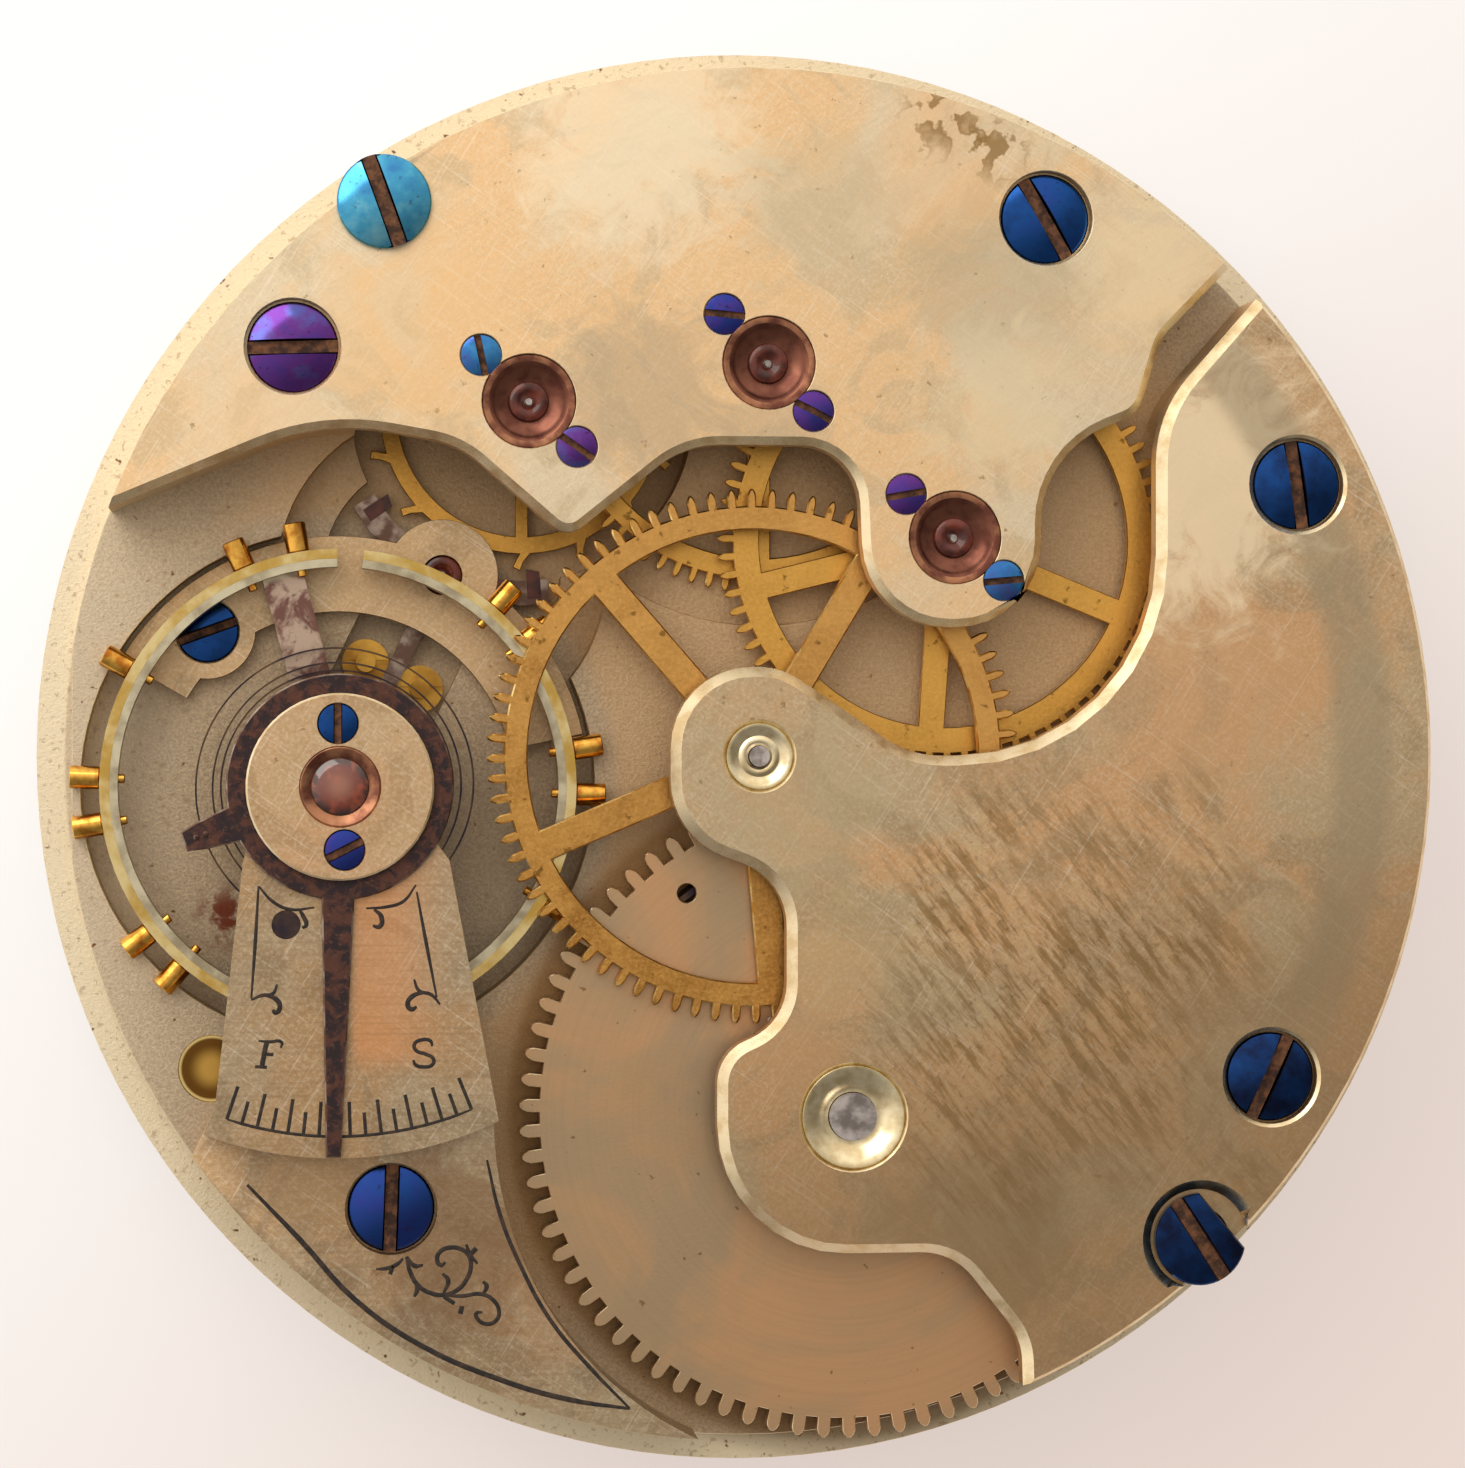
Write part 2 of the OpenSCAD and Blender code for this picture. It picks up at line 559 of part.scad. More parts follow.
module lower_jewels() {
    color(GARNET) {
        at(THIRD, low_jewel_z) jewel_profile(jewel_r, 0.3, pivot_r + run_gap);
        at(FOURTH, low_jewel_z) jewel_profile(jewel_r, 0.3, seconds_r + run_gap);
        at(ESCAPE, 0.7 + seat_gap) jewel_profile(jewel_r, 0.3, pivot_r + run_gap);
        at(FORK, 0.7 + seat_gap) jewel_profile(jewel_r, 0.3, pivot_r + run_gap);
        at(BALANCE, 0.6) jewel_profile(jewel_r, 0.35, staff_pivot_r + run_gap);
    }
}

// Bushings of the centre and barrel arbors
center_post_r = 0.5;
center_pivot_r = 0.31;
center_bush_r = 1;
module center_bushing() {
    color(BRASS) at(CENTER, bridge_under)
        ring(center_bush_r, center_pivot_r + run_gap, bridge_top - bridge_under - 0.02);
}
arbor_low_r = 0.8;
arbor_top_r = 0.72;
barrel_bush_r = 1.55;
module barrel_bushing() {
    color(BRASS) at(BARREL, bridge_under)
        ring(barrel_bush_r, arbor_top_r + run_gap, bridge_top - bridge_under - 0.02);
}

// Balance bearings: cap plate over the regulator, cap jewel, hole jewels
regulator_t = 0.22;
regulator_z = bridge_top + 0.03;
module balance_cap() {
    color(NICKEL) at(BALANCE, bridge_top) difference() {
        union() {
            cylinder(h = cap_top - bridge_top, r = cap_r);
            translate([0, 0, regulator_t + 0.08])
                cylinder(h = cap_top - bridge_top - regulator_t - 0.08, r = cap_r + 0.12);
        }
        translate([0, 0, -1]) cylinder(h = 3, r = cap_jewel_r + seat_gap);
        for (a = CAP_SCREW_WAYS) {
            bore(polar([0, 0], cap_screw_ring, a), -1, 2, 0.26);
            bore(polar([0, 0], cap_screw_ring, a), 0.2, 2, jewel_screw_r + 0.02);
        }
    }
}
cap_jewel_r = 1.2;
module balance_cap_jewel() {
    color([0.7, 0.25, 0.12]) at(BALANCE, bridge_top + 0.02)
        rotate_extrude() polygon([[0, 0], [cap_jewel_r, 0], [cap_jewel_r, 0.42], [0.7, 0.34], [0, 0.22]]);
}
module balance_hole_jewel() {
    color(GARNET) at(BALANCE, bridge_top - 0.4) jewel_profile(jewel_r, 0.35, staff_pivot_r + run_gap);
}
module lower_cap_jewel() {
    color(GARNET) at(BALANCE, 0.05) cylinder(h = 0.52, r = jewel_r);
}

// Brass bush in which a dial foot is pinned, closed above
dial_foot_r = 0.45;
bush_roof = 0.4;
module dial_foot_bush() {
    color(BRASS) at(DIAL_FOOT, 0.02) difference() {
        cylinder(h = plate_t - 0.12, r = 1);
        translate([0, 0, -1]) cylinder(h = plate_t + 0.88 - bush_roof, r = dial_foot_r);
    }
}
module banking_screws() {
    color(BRASS) for (p = BANKING) at(p, well_z + seat_gap) {
        difference() {
            cylinder(h = 0.28, r = banking_head_r);
            translate([-1, -0.08, 0.18]) cube([2, 0.16, 1]);
        }
        cylinder(h = recess_z - well_z, r = 0.3);
    }
}
// Steel posts, pressed into bridge and plate, on which the winding wheels, click and minute wheel turn
post_r = 0.45;
minute_post_r = 0.3;
post_top = bridge_top - 0.4;
module hanging_post(p, flange_r) {
    at(p, winding_z + 0.14) cylinder(h = post_top - winding_z - 0.14, r = post_r);
    at(p, winding_z) cylinder(h = 0.15, r = flange_r);
}
module wheel_posts() {
    color(STEEL) {
        hanging_post(IDLER, 0.8);
        hanging_post(CROWN, 0.8);
        hanging_post(CLICK, 0.6);
        at(MINUTE, 0.03) cylinder(h = 1.95, r = minute_post_r);
    }
}

// Going barrel
module barrel() {
    color(NICKEL) at(BARREL, 0) difference() {
        union() {
            translate([0, 0, barrel_z]) cylinder(h = barrel_h - 0.1, r = drum_r, $fn = 128);
            translate([0, 0, barrel_top - barrel_tooth_t])
                gear(BARREL_TEETH, barrel_r, barrel_tooth_t, barrel_phase, 0.5, 0.95);
        }
        translate([0, 0, barrel_z - 1]) cylinder(h = 1 + barrel_h - 0.4, r = drum_r - drum_wall, $fn = 128);
        translate([0, 0, barrel_top - 1]) cylinder(h = 2, r = arbor_hub_r + run_gap);
        // sight hole near the rim
        bore(polar([0, 0], drum_r - 0.75, 126), barrel_top - 1, barrel_top + 1, 0.3);
    }
}
cover_t = 0.22;
module barrel_cover() {
    color(NICKEL) at(BARREL, barrel_z + 0.02)
        ring(drum_r - drum_wall - seat_gap, arbor_low_r + run_gap, cover_t);
}
arbor_hub_r = 1.1;
core_r = 2.3;
module barrel_arbor() {
    color(STEEL) at(BARREL, 0) {
        translate([0, 0, 0.25]) cylinder(h = 3, r = arbor_low_r);
        translate([0, 0, barrel_z + cover_t + 0.12]) cylinder(h = barrel_h - 0.4 - cover_t - 0.2, r = core_r);
        translate([0, 0, 3]) cylinder(h = winding_z - 3, r = arbor_hub_r);
        translate([-0.6, -0.6, winding_z - 0.1]) cube([1.2, 1.2, 0.45]);
        translate([0, 0, winding_z + 0.3]) cylinder(h = bridge_top - 0.1 - winding_z - 0.3, r = arbor_top_r);
    }
}
mainspring_h = barrel_h - 0.4 - cover_t - 0.35;
mainspring_step = 0.45;
mainspring_out = drum_r - drum_wall - mainspring_t / 2 - seat_gap;
mainspring_turns = (mainspring_out - core_r - mainspring_t / 2 - 0.05) / mainspring_step;
function coil(r0, a0, step, turns, side, n) =
    [for (i = [0:turns * n]) polar([0, 0], r0 - step * i / n + side, a0 - 360 * i / n)];
function reversed(list) = [for (i = [len(list) - 1:-1:0]) list[i]];
module ribbon(r0, a0, step, turns, t, h, n) {
    linear_extrude(h) polygon(concat(coil(r0, a0, step, turns, t / 2, n),
        reversed(coil(r0, a0, step, turns, -t / 2, n))));
}
module mainspring() {
    color(STEEL) at(BARREL, barrel_z + cover_t + 0.18)
        ribbon(mainspring_out, 0, mainspring_step, mainspring_turns, mainspring_t, mainspring_h, 24);
}

// Winding work under the barrel bridge
module ratchet_wheel() {
    color(STEEL) at(BARREL, winding_z) difference() {
        gear(RATCHET_TEETH, ratchet_r, winding_t, ratchet_phase);
        translate([-0.61, -0.61, -1]) cube([1.22, 1.22, 3]);
    }
}
// Bore for a hanging post, with room for the post's flange in the underside
module post_bore(flange_r) {
    translate([0, 0, -1]) cylinder(h = 3, r = post_r + run_gap);
    translate([0, 0, -1]) cylinder(h = 1.17, r = flange_r + run_gap);
}
module winding_idler() {
    color(STEEL) at(IDLER, winding_z) difference() {
        gear(IDLER_TEETH, idler_r, winding_t, idler_phase);
        post_bore(0.8);
    }
}
crown_drop = 0.95;
contrate_out = crown_r - 0.35;
contrate_in = crown_r - 0.95;
module crown_wheel() {
    color(STEEL) at(CROWN, winding_z) difference() {
        union() {
            gear(CROWN_TEETH, crown_r, winding_t, crown_phase);
            translate([0, 0, -crown_drop]) ring(contrate_out, contrate_in, crown_drop + 0.1);
        }
        post_bore(0.8);
        // gaps between the contrate teeth, into which the winding pinion's leaves rise
        for (i = [0:CROWN_TEETH - 1]) rotate(crown_phase + i * 360 / CROWN_TEETH)
            translate([contrate_in - 0.3, -0.16, -crown_drop - 1]) cube([1.2, 0.32, 1.3]);
    }
}
winding_x = CROWN[0] + contrate_in;
winding_tip_r = winding_z - crown_drop - stem_z + 0.1;
winding_root_r = winding_tip_r - 0.4;
module winding_pinion() {
    color(STEEL) translate([winding_x, 0, stem_z]) rotate([0, 90, 0]) difference() {
        linear_extrude(1) union() {
            circle(winding_root_r);
            for (i = [0:WINDING_TEETH - 1]) rotate(winding_phase + i * 360 / WINDING_TEETH)
                polygon([[1, -0.13], [winding_root_r, -0.13], [winding_tip_r - 0.12, -0.08],
                    [winding_tip_r, -0.04], [winding_tip_r, 0.04], [winding_tip_r - 0.12, 0.08],
                    [winding_root_r, 0.13], [1, 0.13]]);
        }
        translate([0, 0, -1]) cylinder(h = 3, r = stem_r);
    }
}
clutch_x = winding_x - 2.6;
clutch_r = 1.15;
clutch_l = 1.7;
clutch_start = winding_x - 0.12 - clutch_l;
groove_at = 0.85;
module clutch() {
    color(STEEL) translate([clutch_start, 0, stem_z]) rotate([0, 90, 0]) difference() {
        cylinder(h = clutch_l, r = clutch_r);
        translate([0, 0, groove_at - 0.25]) ring(clutch_r + 1, clutch_r - 0.35, 0.5);
        translate([-0.55, -0.55, -1]) cube([1.1, 1.1, 4]);
    }
}
// Setting lever: its nose sits in the clutch's groove and slides the clutch along the stem
LEVER = [clutch_start + groove_at, 3.5];
lever_t = 0.5;
module setting_lever() {
    color(STEEL) at(LEVER, stem_z - lever_t / 2) {
        cylinder(h = plate_t - 0.35 - stem_z + lever_t / 2, r = 0.35);
        linear_extrude(lever_t) union() {
            circle(0.65);
            polygon([[-0.35, 0], [-0.16, -1.6], [-0.16, -2.6], [0.16, -2.6], [0.16, -1.6], [0.35, 0]]);
        }
    }
}
CLICK = polar(BARREL, ratchet_r + 2.6, -28);
CLICK_ANCHOR = polar(CLICK, 2.4, -10);
module click() {
    color(STEEL) at(CLICK, winding_z) difference() {
        linear_extrude(winding_t) union() {
            circle(0.85);
            rotate(bearing(CLICK, BARREL) + 12)
                polygon([[0, -0.7], [1.55, -0.6], [2.12, -0.42], [1.6, 0.1], [0, 0.7]]);
        }
        post_bore(0.6);
    }
}
// Click spring: a leaf from its stud to the click's back
module click_spring() {
    color(STEEL) {
        at(CLICK_ANCHOR, winding_z) cylinder(h = post_top - winding_z, r = post_r);
        at(CLICK, winding_z) rotate(bearing(CLICK, CLICK_ANCHOR)) {
            translate([0.9, -0.07, 0]) cube([1.5, 0.14, winding_t]);
            translate([0.88, -0.45, 0]) cube([0.12, 0.9, winding_t]);
        }
    }
}

// Train wheels and pinions
module center_wheel() {
    color(GILT) at(CENTER, center_z) difference() {
        crossed_wheel(CENTER_TEETH, center_r, center_wheel_t, center_phase, center_r - 1.01, 1.6, 0.95);
        translate([0, 0, -1]) cylinder(h = 3, r = center_post_r + seat_gap);
    }
}
seconds_r = 0.16;
module center_pinion() {
    color(STEEL) at(CENTER, 0) {
        translate([0, 0, 3.35]) leaves(CENTER_LEAVES, center_leaf_r, 0.6, center_leaf_phase);
        translate([0, 0, -1.9]) cylinder(h = 6.6, r = center_post_r);
        translate([0, 0, 4.6]) cylinder(h = bridge_top - 4.6 - 0.03, r = center_pivot_r);
    }
}
module train_wheel(p, z, n, r, t, phase, rim_in, hub, arm_w, bore_r) {
    color(BRASS) at(p, z) difference() {
        crossed_wheel(n, r, t, phase, rim_in, hub, arm_w);
        translate([0, 0, -1]) cylinder(h = 3, r = bore_r + seat_gap);
    }
}
staff_r = 0.3;
module third_wheel() {
    train_wheel(THIRD, third_z, THIRD_TEETH, third_r, third_wheel_t, third_phase,
        third_r - 1.06, 1.3, 0.8, staff_r);
}
module third_pinion() {
    color(STEEL) at(THIRD, 0) {
        translate([0, 0, 3.85]) leaves(THIRD_LEAVES, third_leaf_r, 0.58, third_leaf_phase);
        translate([0, 0, plate_t + 0.1]) cylinder(h = bridge_top - 0.65 - plate_t, r = staff_r);
        translate([0, 0, low_jewel_z + 0.03]) cylinder(h = bridge_top - 0.33 - low_jewel_z, r = pivot_r);
    }
}
module fourth_wheel() {
    train_wheel(FOURTH, fourth_z, FOURTH_TEETH, fourth_r, fourth_wheel_t, fourth_phase,
        fourth_r - 0.89, 1.2, 0.7, staff_r);
}
module fourth_pinion() {
    color(STEEL) at(FOURTH, 0) {
        translate([0, 0, third_z - 0.2]) leaves(FOURTH_LEAVES, fourth_leaf_r, 0.5, fourth_leaf_phase);
        translate([0, 0, fourth_floor + 0.08]) cylinder(h = bridge_top - 0.63 - fourth_floor, r = staff_r);
        translate([0, 0, plate_t]) cylinder(h = bridge_top - 0.3 - plate_t, r = pivot_r);
        // long pivot for the seconds hand
        translate([0, 0, 0]) cylinder(h = plate_t + 0.2, r = seconds_r);
        translate([0, 0, -1.2]) cylinder(h = 1.4, r = seconds_r - 0.03);
    }
}

// Escape wheel: fifteen club teeth that lean the way the wheel turns, clockwise from above
function club(a) = [polar([0, 0], 4.1, a + 13), polar([0, 0], 4.1, a + 4.4), polar([0, 0], 4.6, a + 0.9),
    polar([0, 0], escape_r - 0.1, a), polar([0, 0], escape_r, a + 2.8),
    polar([0, 0], escape_r - 0.26, a + 4), polar([0, 0], 4.3, a + 7.4)];
escape_phase = bearing(ESCAPE, FORK) + 22.65;
module escape_wheel() {
    color(BRASS) at(ESCAPE, escape_z) linear_extrude(escape_t) difference() {
        union() {
            circle(4.35);
            for (i = [0:ESCAPE_TEETH - 1]) polygon(club(escape_phase + i * 360 / ESCAPE_TEETH));
        }
        difference() {
            circle(3.82);
            circle(0.9);
            for (i = [0:3]) rotate(270 + i * 90) translate([0, -0.2]) square([4, 0.4]);
        }
        circle(staff_r + seat_gap);
    }
}
module escape_pinion() {
    color(STEEL) at(ESCAPE, 0) {
        translate([0, 0, fourth_z - 0.14]) leaves(ESCAPE_LEAVES, escape_leaf_r, 0.5, escape_leaf_phase);
        translate([0, 0, 1.15]) cylinder(h = bridge_top - 1.75, r = staff_r);
        translate([0, 0, 0.8]) cylinder(h = bridge_top - 1.05, r = pivot_r);
    }
}

// Motion work on the dial side
cannon_r = 0.8;
cannon_nose_r = 0.65;
cannon_leaf_z = 0.45;
module cannon_pinion() {
    color(STEEL) at(CENTER, 0) difference() {
        union() {
            translate([0, 0, cannon_leaf_z])
                leaves(CANNON_LEAVES, motion_module * CANNON_LEAVES / 2, 0.35, cannon_phase);
            translate([0, 0, -1.5]) cylinder(h = 1.5 + cannon_leaf_z + 0.01, r = cannon_r);
            translate([0, 0, -2.2]) cylinder(h = 1, r = cannon_nose_r);
        }
        translate([0, 0, -3]) cylinder(h = 5, r = center_post_r + seat_gap);
    }
}
module minute_wheel() {
    color(BRASS) at(MINUTE, 0) {
        difference() {
            union() {
                translate([0, 0, 0.5])
                    gear(MINUTE_TEETH, motion_module * MINUTE_TEETH / 2, 0.25, minute_phase);
                translate([0, 0, 0.05]) leaves(MINUTE_LEAVES, minute_leaf_r, 0.46, minute_leaf_phase);
            }
            translate([0, 0, -1]) cylinder(h = 3, r = minute_post_r + run_gap);
        }
    }
}
module hour_wheel() {
    color(BRASS) at(CENTER, 0) difference() {
        union() {
            translate([0, 0, 0.1]) gear(HOUR_TEETH, hour_r, 0.25, hour_phase);
            translate([0, 0, -1.4]) cylinder(h = 1.6, r = 1.15);
        }
        translate([0, 0, -3]) cylinder(h = 5, r = cannon_r + 0.04);
    }
}

// Pallet fork, its stones and arbor
fork_way = bearing(FORK, BALANCE);
stone_r = norm(ESCAPE - FORK) * sin(30);
stone_half = 0.2;
stone_l = 0.85;
fork_staff_r = 0.2;
// A piece drawn beside the exit stone, or mirrored to stand beside the entry stone
module pallet_side(s) {
    rotate(fork_way + 180 + s * 60) mirror([0, s < 0 ? 1 : 0, 0]) children();
}
module pallet_fork() {
    color(STEEL) at(FORK, fork_z) difference() {
        union() {
            cylinder(h = fork_t, r = 0.55);
            linear_extrude(fork_t) rotate(fork_way) polygon([[0.3, -0.3], [5.6, -0.22], [5.95, -0.42],
                [6.55, -0.5], [6.55, 0.5], [5.95, 0.42], [5.6, 0.22], [0.3, 0.3]]);
            for (s = [1, -1]) linear_extrude(fork_t) pallet_side(s)
                polygon([[0.3, -0.2], [2.3, 0.3], [3.25, 0.3], [3.25, 1.05], [2.3, 1.05], [0.3, 0.35]]);
        }
        rotate(fork_way) translate([6, -0.2, -1]) cube([1, 0.4, 2]);
        translate([0, 0, -1]) cylinder(h = 2, r = fork_staff_r + seat_gap);
        for (s = [1, -1]) translate([0, 0, -1]) linear_extrude(2) pallet_side(s)
            translate([stone_r - stone_half - seat_gap, -1])
                square([2 * (stone_half + seat_gap), 1 + stone_l + seat_gap]);
    }
}
module pallet_stones() {
    color(GARNET) at(FORK, fork_z - 0.03) linear_extrude(fork_t + 0.06) for (s = [1, -1])
        pallet_side(s) polygon([[stone_r - stone_half, 0.05 * s], [stone_r + stone_half, -0.05 * s],
            [stone_r + stone_half, stone_l], [stone_r - stone_half, stone_l]]);
}
module pallet_arbor() {
    color(STEEL) at(FORK, 0) {
        translate([0, 0, 1.15]) cylinder(h = 0.9, r = fork_staff_r);
        translate([0, 0, 0.75]) cylinder(h = recess_z + pallet_bridge_t - 0.8, r = pivot_r);
    }
}

// Balance: a cut rim of brass on steel, arms in one with the steel
ARM_WAY = 105;
CUTS = [87.3, 267.3];
cut_half = 3.2;
module cut_band(outer, inner) {
    difference() {
        ring(outer, inner, rim_h);
        for (a = CUTS) rotate(a) translate([0, 0, -1]) linear_extrude(rim_h + 2)
            polygon([[0, 0], polar([0, 0], 12, -cut_half), polar([0, 0], 12, cut_half)]);
        for (a = SCREW_WAYS) rotate(a) translate([inner - 1, 0, screw_rise]) rotate([0, 90, 0])
            cylinder(h = 3, r = timing_neck_r + seat_gap, $fn = 24);
    }
}
SCREW_WAYS = [for (a = [99.9, 113.5, 150.6, 178, 189, 217.8, 228.8]) each [a, a + 180]];
timing_neck_r = 0.14;
screw_rise = 0.51;
steel_r = rim_r - rim_brass;
module balance_arms() {
    color(STEEL) at(BALANCE, rim_z) difference() {
        union() {
            cut_band(steel_r, steel_r - rim_steel);
            rotate(ARM_WAY) translate([-steel_r + 0.1, -0.62, 0]) cube([2 * steel_r - 0.2, 1.24, arm_t]);
            cylinder(h = arm_t, r = 1.5);
        }
        translate([0, 0, -1]) cylinder(h = 3, r = hub_r + seat_gap);
        for (a = SCREW_WAYS) rotate(a) translate([steel_r - rim_steel - 1, 0, screw_rise]) rotate([0, 90, 0])
            cylinder(h = 3, r = timing_neck_r + seat_gap, $fn = 24);
    }
}
module balance_rim() {
    color(BRASS) at(BALANCE, rim_z) cut_band(rim_r, steel_r);
}
module timing_screws() {
    color(BRASS) for (a = SCREW_WAYS) at(BALANCE, rim_z + screw_rise) rotate([0, 90, a]) difference() {
        union() {
            translate([0, 0, rim_r + seat_gap]) cylinder(h = timing_head_l, r = timing_head_r, $fn = 32);
            translate([0, 0, steel_r - rim_steel - 0.2]) cylinder(h = 0.95, r = timing_neck_r, $fn = 24);
        }
        translate([-0.05, -1, rim_r + timing_head_l - 0.1]) cube([0.1, 2, 1]);
    }
}
hub_r = 0.5;
staff_pivot_r = 0.08;
module balance_staff() {
    color(STEEL) at(BALANCE, 0) {
        translate([0, 0, 0.62]) cylinder(h = bridge_top - 0.64, r = staff_pivot_r);
        translate([0, 0, 1]) cylinder(h = bridge_top - 1.5, r = 0.25);
        translate([0, 0, rim_z - 0.2]) cylinder(h = 0.5, r = hub_r);
    }
}
module collet() {
    color(STEEL) at(BALANCE, spring_z - 0.12) ring(collet_r, 0.25 + seat_gap, spring_h + 0.24);
}
collet_r = 0.62;
jewel_pin_r = 0.13;
jewel_pin_at = 0.85;
module roller_table() {
    color(STEEL) at(BALANCE, 2.15) {
        difference() {
            ring(1.35, 0.25 + seat_gap, 0.15);
            bore(polar([0, 0], jewel_pin_at, bearing(BALANCE, FORK)), -1, 1, jewel_pin_r + seat_gap);
        }
    }
}
module roller_jewel() {
    color(GARNET) at(polar(BALANCE, jewel_pin_at, bearing(BALANCE, FORK)), 1.5)
        cylinder(h = 0.85, r = jewel_pin_r, $fn = 32);
}

// Hairspring: a flat spiral from the stud, between the curb pins, to the collet
spring_out = 4.375;
STUD_WAY = 248.8;
stud_r = 0.42;
STUD = polar(BALANCE, spring_out, STUD_WAY);
spring_start = STUD_WAY - 2 * asin((stud_r + 0.02) / 2 / spring_out);
spring_turns = (spring_out - collet_r - spring_t / 2 - 0.06) / spring_pitch;
spring_least_gap = min([for (i = [0:24]) norm(polar([0, 0], spring_out - spring_pitch * i / 24, -15 * i)
    - polar([0, 0], spring_out - spring_pitch * (i / 24 + 1), -15 * i))]) - spring_t;
echo(hairspring_least_gap = spring_least_gap);
module hairspring() {
    color(BLUED) at(BALANCE, spring_z)
        ribbon(spring_out, spring_start, spring_pitch, spring_turns, spring_t, spring_h, 36);
}
module hairspring_stud() {
    color(BLUED) at(STUD, spring_z - 0.1) cylinder(h = bridge_top - 0.06 - spring_z + 0.1, r = stud_r);
}
regulator_out = 3.35;
POINTER_WAY = 269;
PIN_WAY = 199.5;
pin_r = 0.09;
pin_half = spring_t / 2 + pin_r + 0.03;
pin_coil_r = spring_out - spring_pitch * (spring_start - PIN_WAY) / 360;
module regulator() {
    color([0.25, 0.17, 0.16]) at(BALANCE, regulator_z) {
        linear_extrude(regulator_t) difference() {
            union() {
                circle(regulator_out);
                rotate(POINTER_WAY) polygon([[2.8, -0.5], [10.95, -0.22], [10.95, 0.22], [2.8, 0.5]]);
                rotate(PIN_WAY) polygon([[2.8, -0.6], [4.3, -0.42], [4.85, -0.3], [4.85, 0.3],
                    [4.3, 0.42], [2.8, 0.6]]);
            }
            circle(cap_r + 0.04);
        }
        for (s = [-1, 1]) rotate(PIN_WAY)
            translate([pin_coil_r + s * pin_half, 0, spring_z - regulator_z - 0.05])
            cylinder(h = regulator_z + regulator_t + 0.1 - spring_z, r = pin_r, $fn = 24);
    }
}

pillar_plate();
train_bridge();
barrel_bridge();
balance_cock();
pallet_bridge();
plate_screws();
cock_screw();
pallet_bridge_screw();
jewel_screws();
cap_screws();
train_jewel_settings();
train_jewels();
lower_jewels();
center_bushing();
barrel_bushing();
balance_cap();
balance_cap_jewel();
balance_hole_jewel();
lower_cap_jewel();
dial_foot_bush();
banking_screws();
wheel_posts();
case_screw_upper();
case_screw_lower();
barrel();
barrel_cover();
mainspring();
barrel_arbor();
ratchet_wheel();
winding_idler();
crown_wheel();
winding_pinion();
clutch();
setting_lever();
click();
click_spring();
center_wheel();
center_pinion();
third_wheel();
third_pinion();
fourth_wheel();
fourth_pinion();
escape_wheel();
escape_pinion();
cannon_pinion();
minute_wheel();
hour_wheel();
pallet_fork();
pallet_stones();
pallet_arbor();
balance_arms();
balance_rim();
timing_screws();
balance_staff();
roller_table();
roller_jewel();
collet();
hairspring();
hairspring_stud();
regulator();
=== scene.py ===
from math import cos, pi, radians, sin

import bmesh
import bpy
from mathutils import Matrix, Vector


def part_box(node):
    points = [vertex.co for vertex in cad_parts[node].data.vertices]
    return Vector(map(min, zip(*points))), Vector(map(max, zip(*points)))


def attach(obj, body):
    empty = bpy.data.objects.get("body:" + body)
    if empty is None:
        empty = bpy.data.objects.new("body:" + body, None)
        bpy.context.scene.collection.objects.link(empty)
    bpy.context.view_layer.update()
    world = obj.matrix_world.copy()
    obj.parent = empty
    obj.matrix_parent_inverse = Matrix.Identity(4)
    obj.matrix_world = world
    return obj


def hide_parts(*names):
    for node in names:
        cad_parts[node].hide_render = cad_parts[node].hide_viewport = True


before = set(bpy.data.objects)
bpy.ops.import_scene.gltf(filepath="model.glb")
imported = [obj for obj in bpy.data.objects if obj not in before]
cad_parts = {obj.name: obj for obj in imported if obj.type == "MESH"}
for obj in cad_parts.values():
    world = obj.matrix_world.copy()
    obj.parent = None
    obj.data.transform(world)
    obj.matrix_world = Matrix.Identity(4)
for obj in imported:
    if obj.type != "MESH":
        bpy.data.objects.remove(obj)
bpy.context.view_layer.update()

# Camera: straight down on the train side from 120 mm, a little to the balance's side, as in the
# photograph. The lens is long, so the bridges hardly lean.
MM = 0.001
camera_data = bpy.data.cameras.new("camera")
camera_data.sensor_fit = "HORIZONTAL"
camera_data.sensor_width = 36
camera_data.lens = 95.66
camera_data.clip_start = 0.005
camera = bpy.data.objects.new("camera", camera_data)
camera.location = (-13.54 * MM, 0.19 * MM, 121.55 * MM)
camera.rotation_euler = (0.0041, -0.1094, 0)
bpy.context.scene.collection.objects.link(camera)
bpy.context.scene.camera = camera
bpy.context.scene.view_settings.view_transform = "Standard"


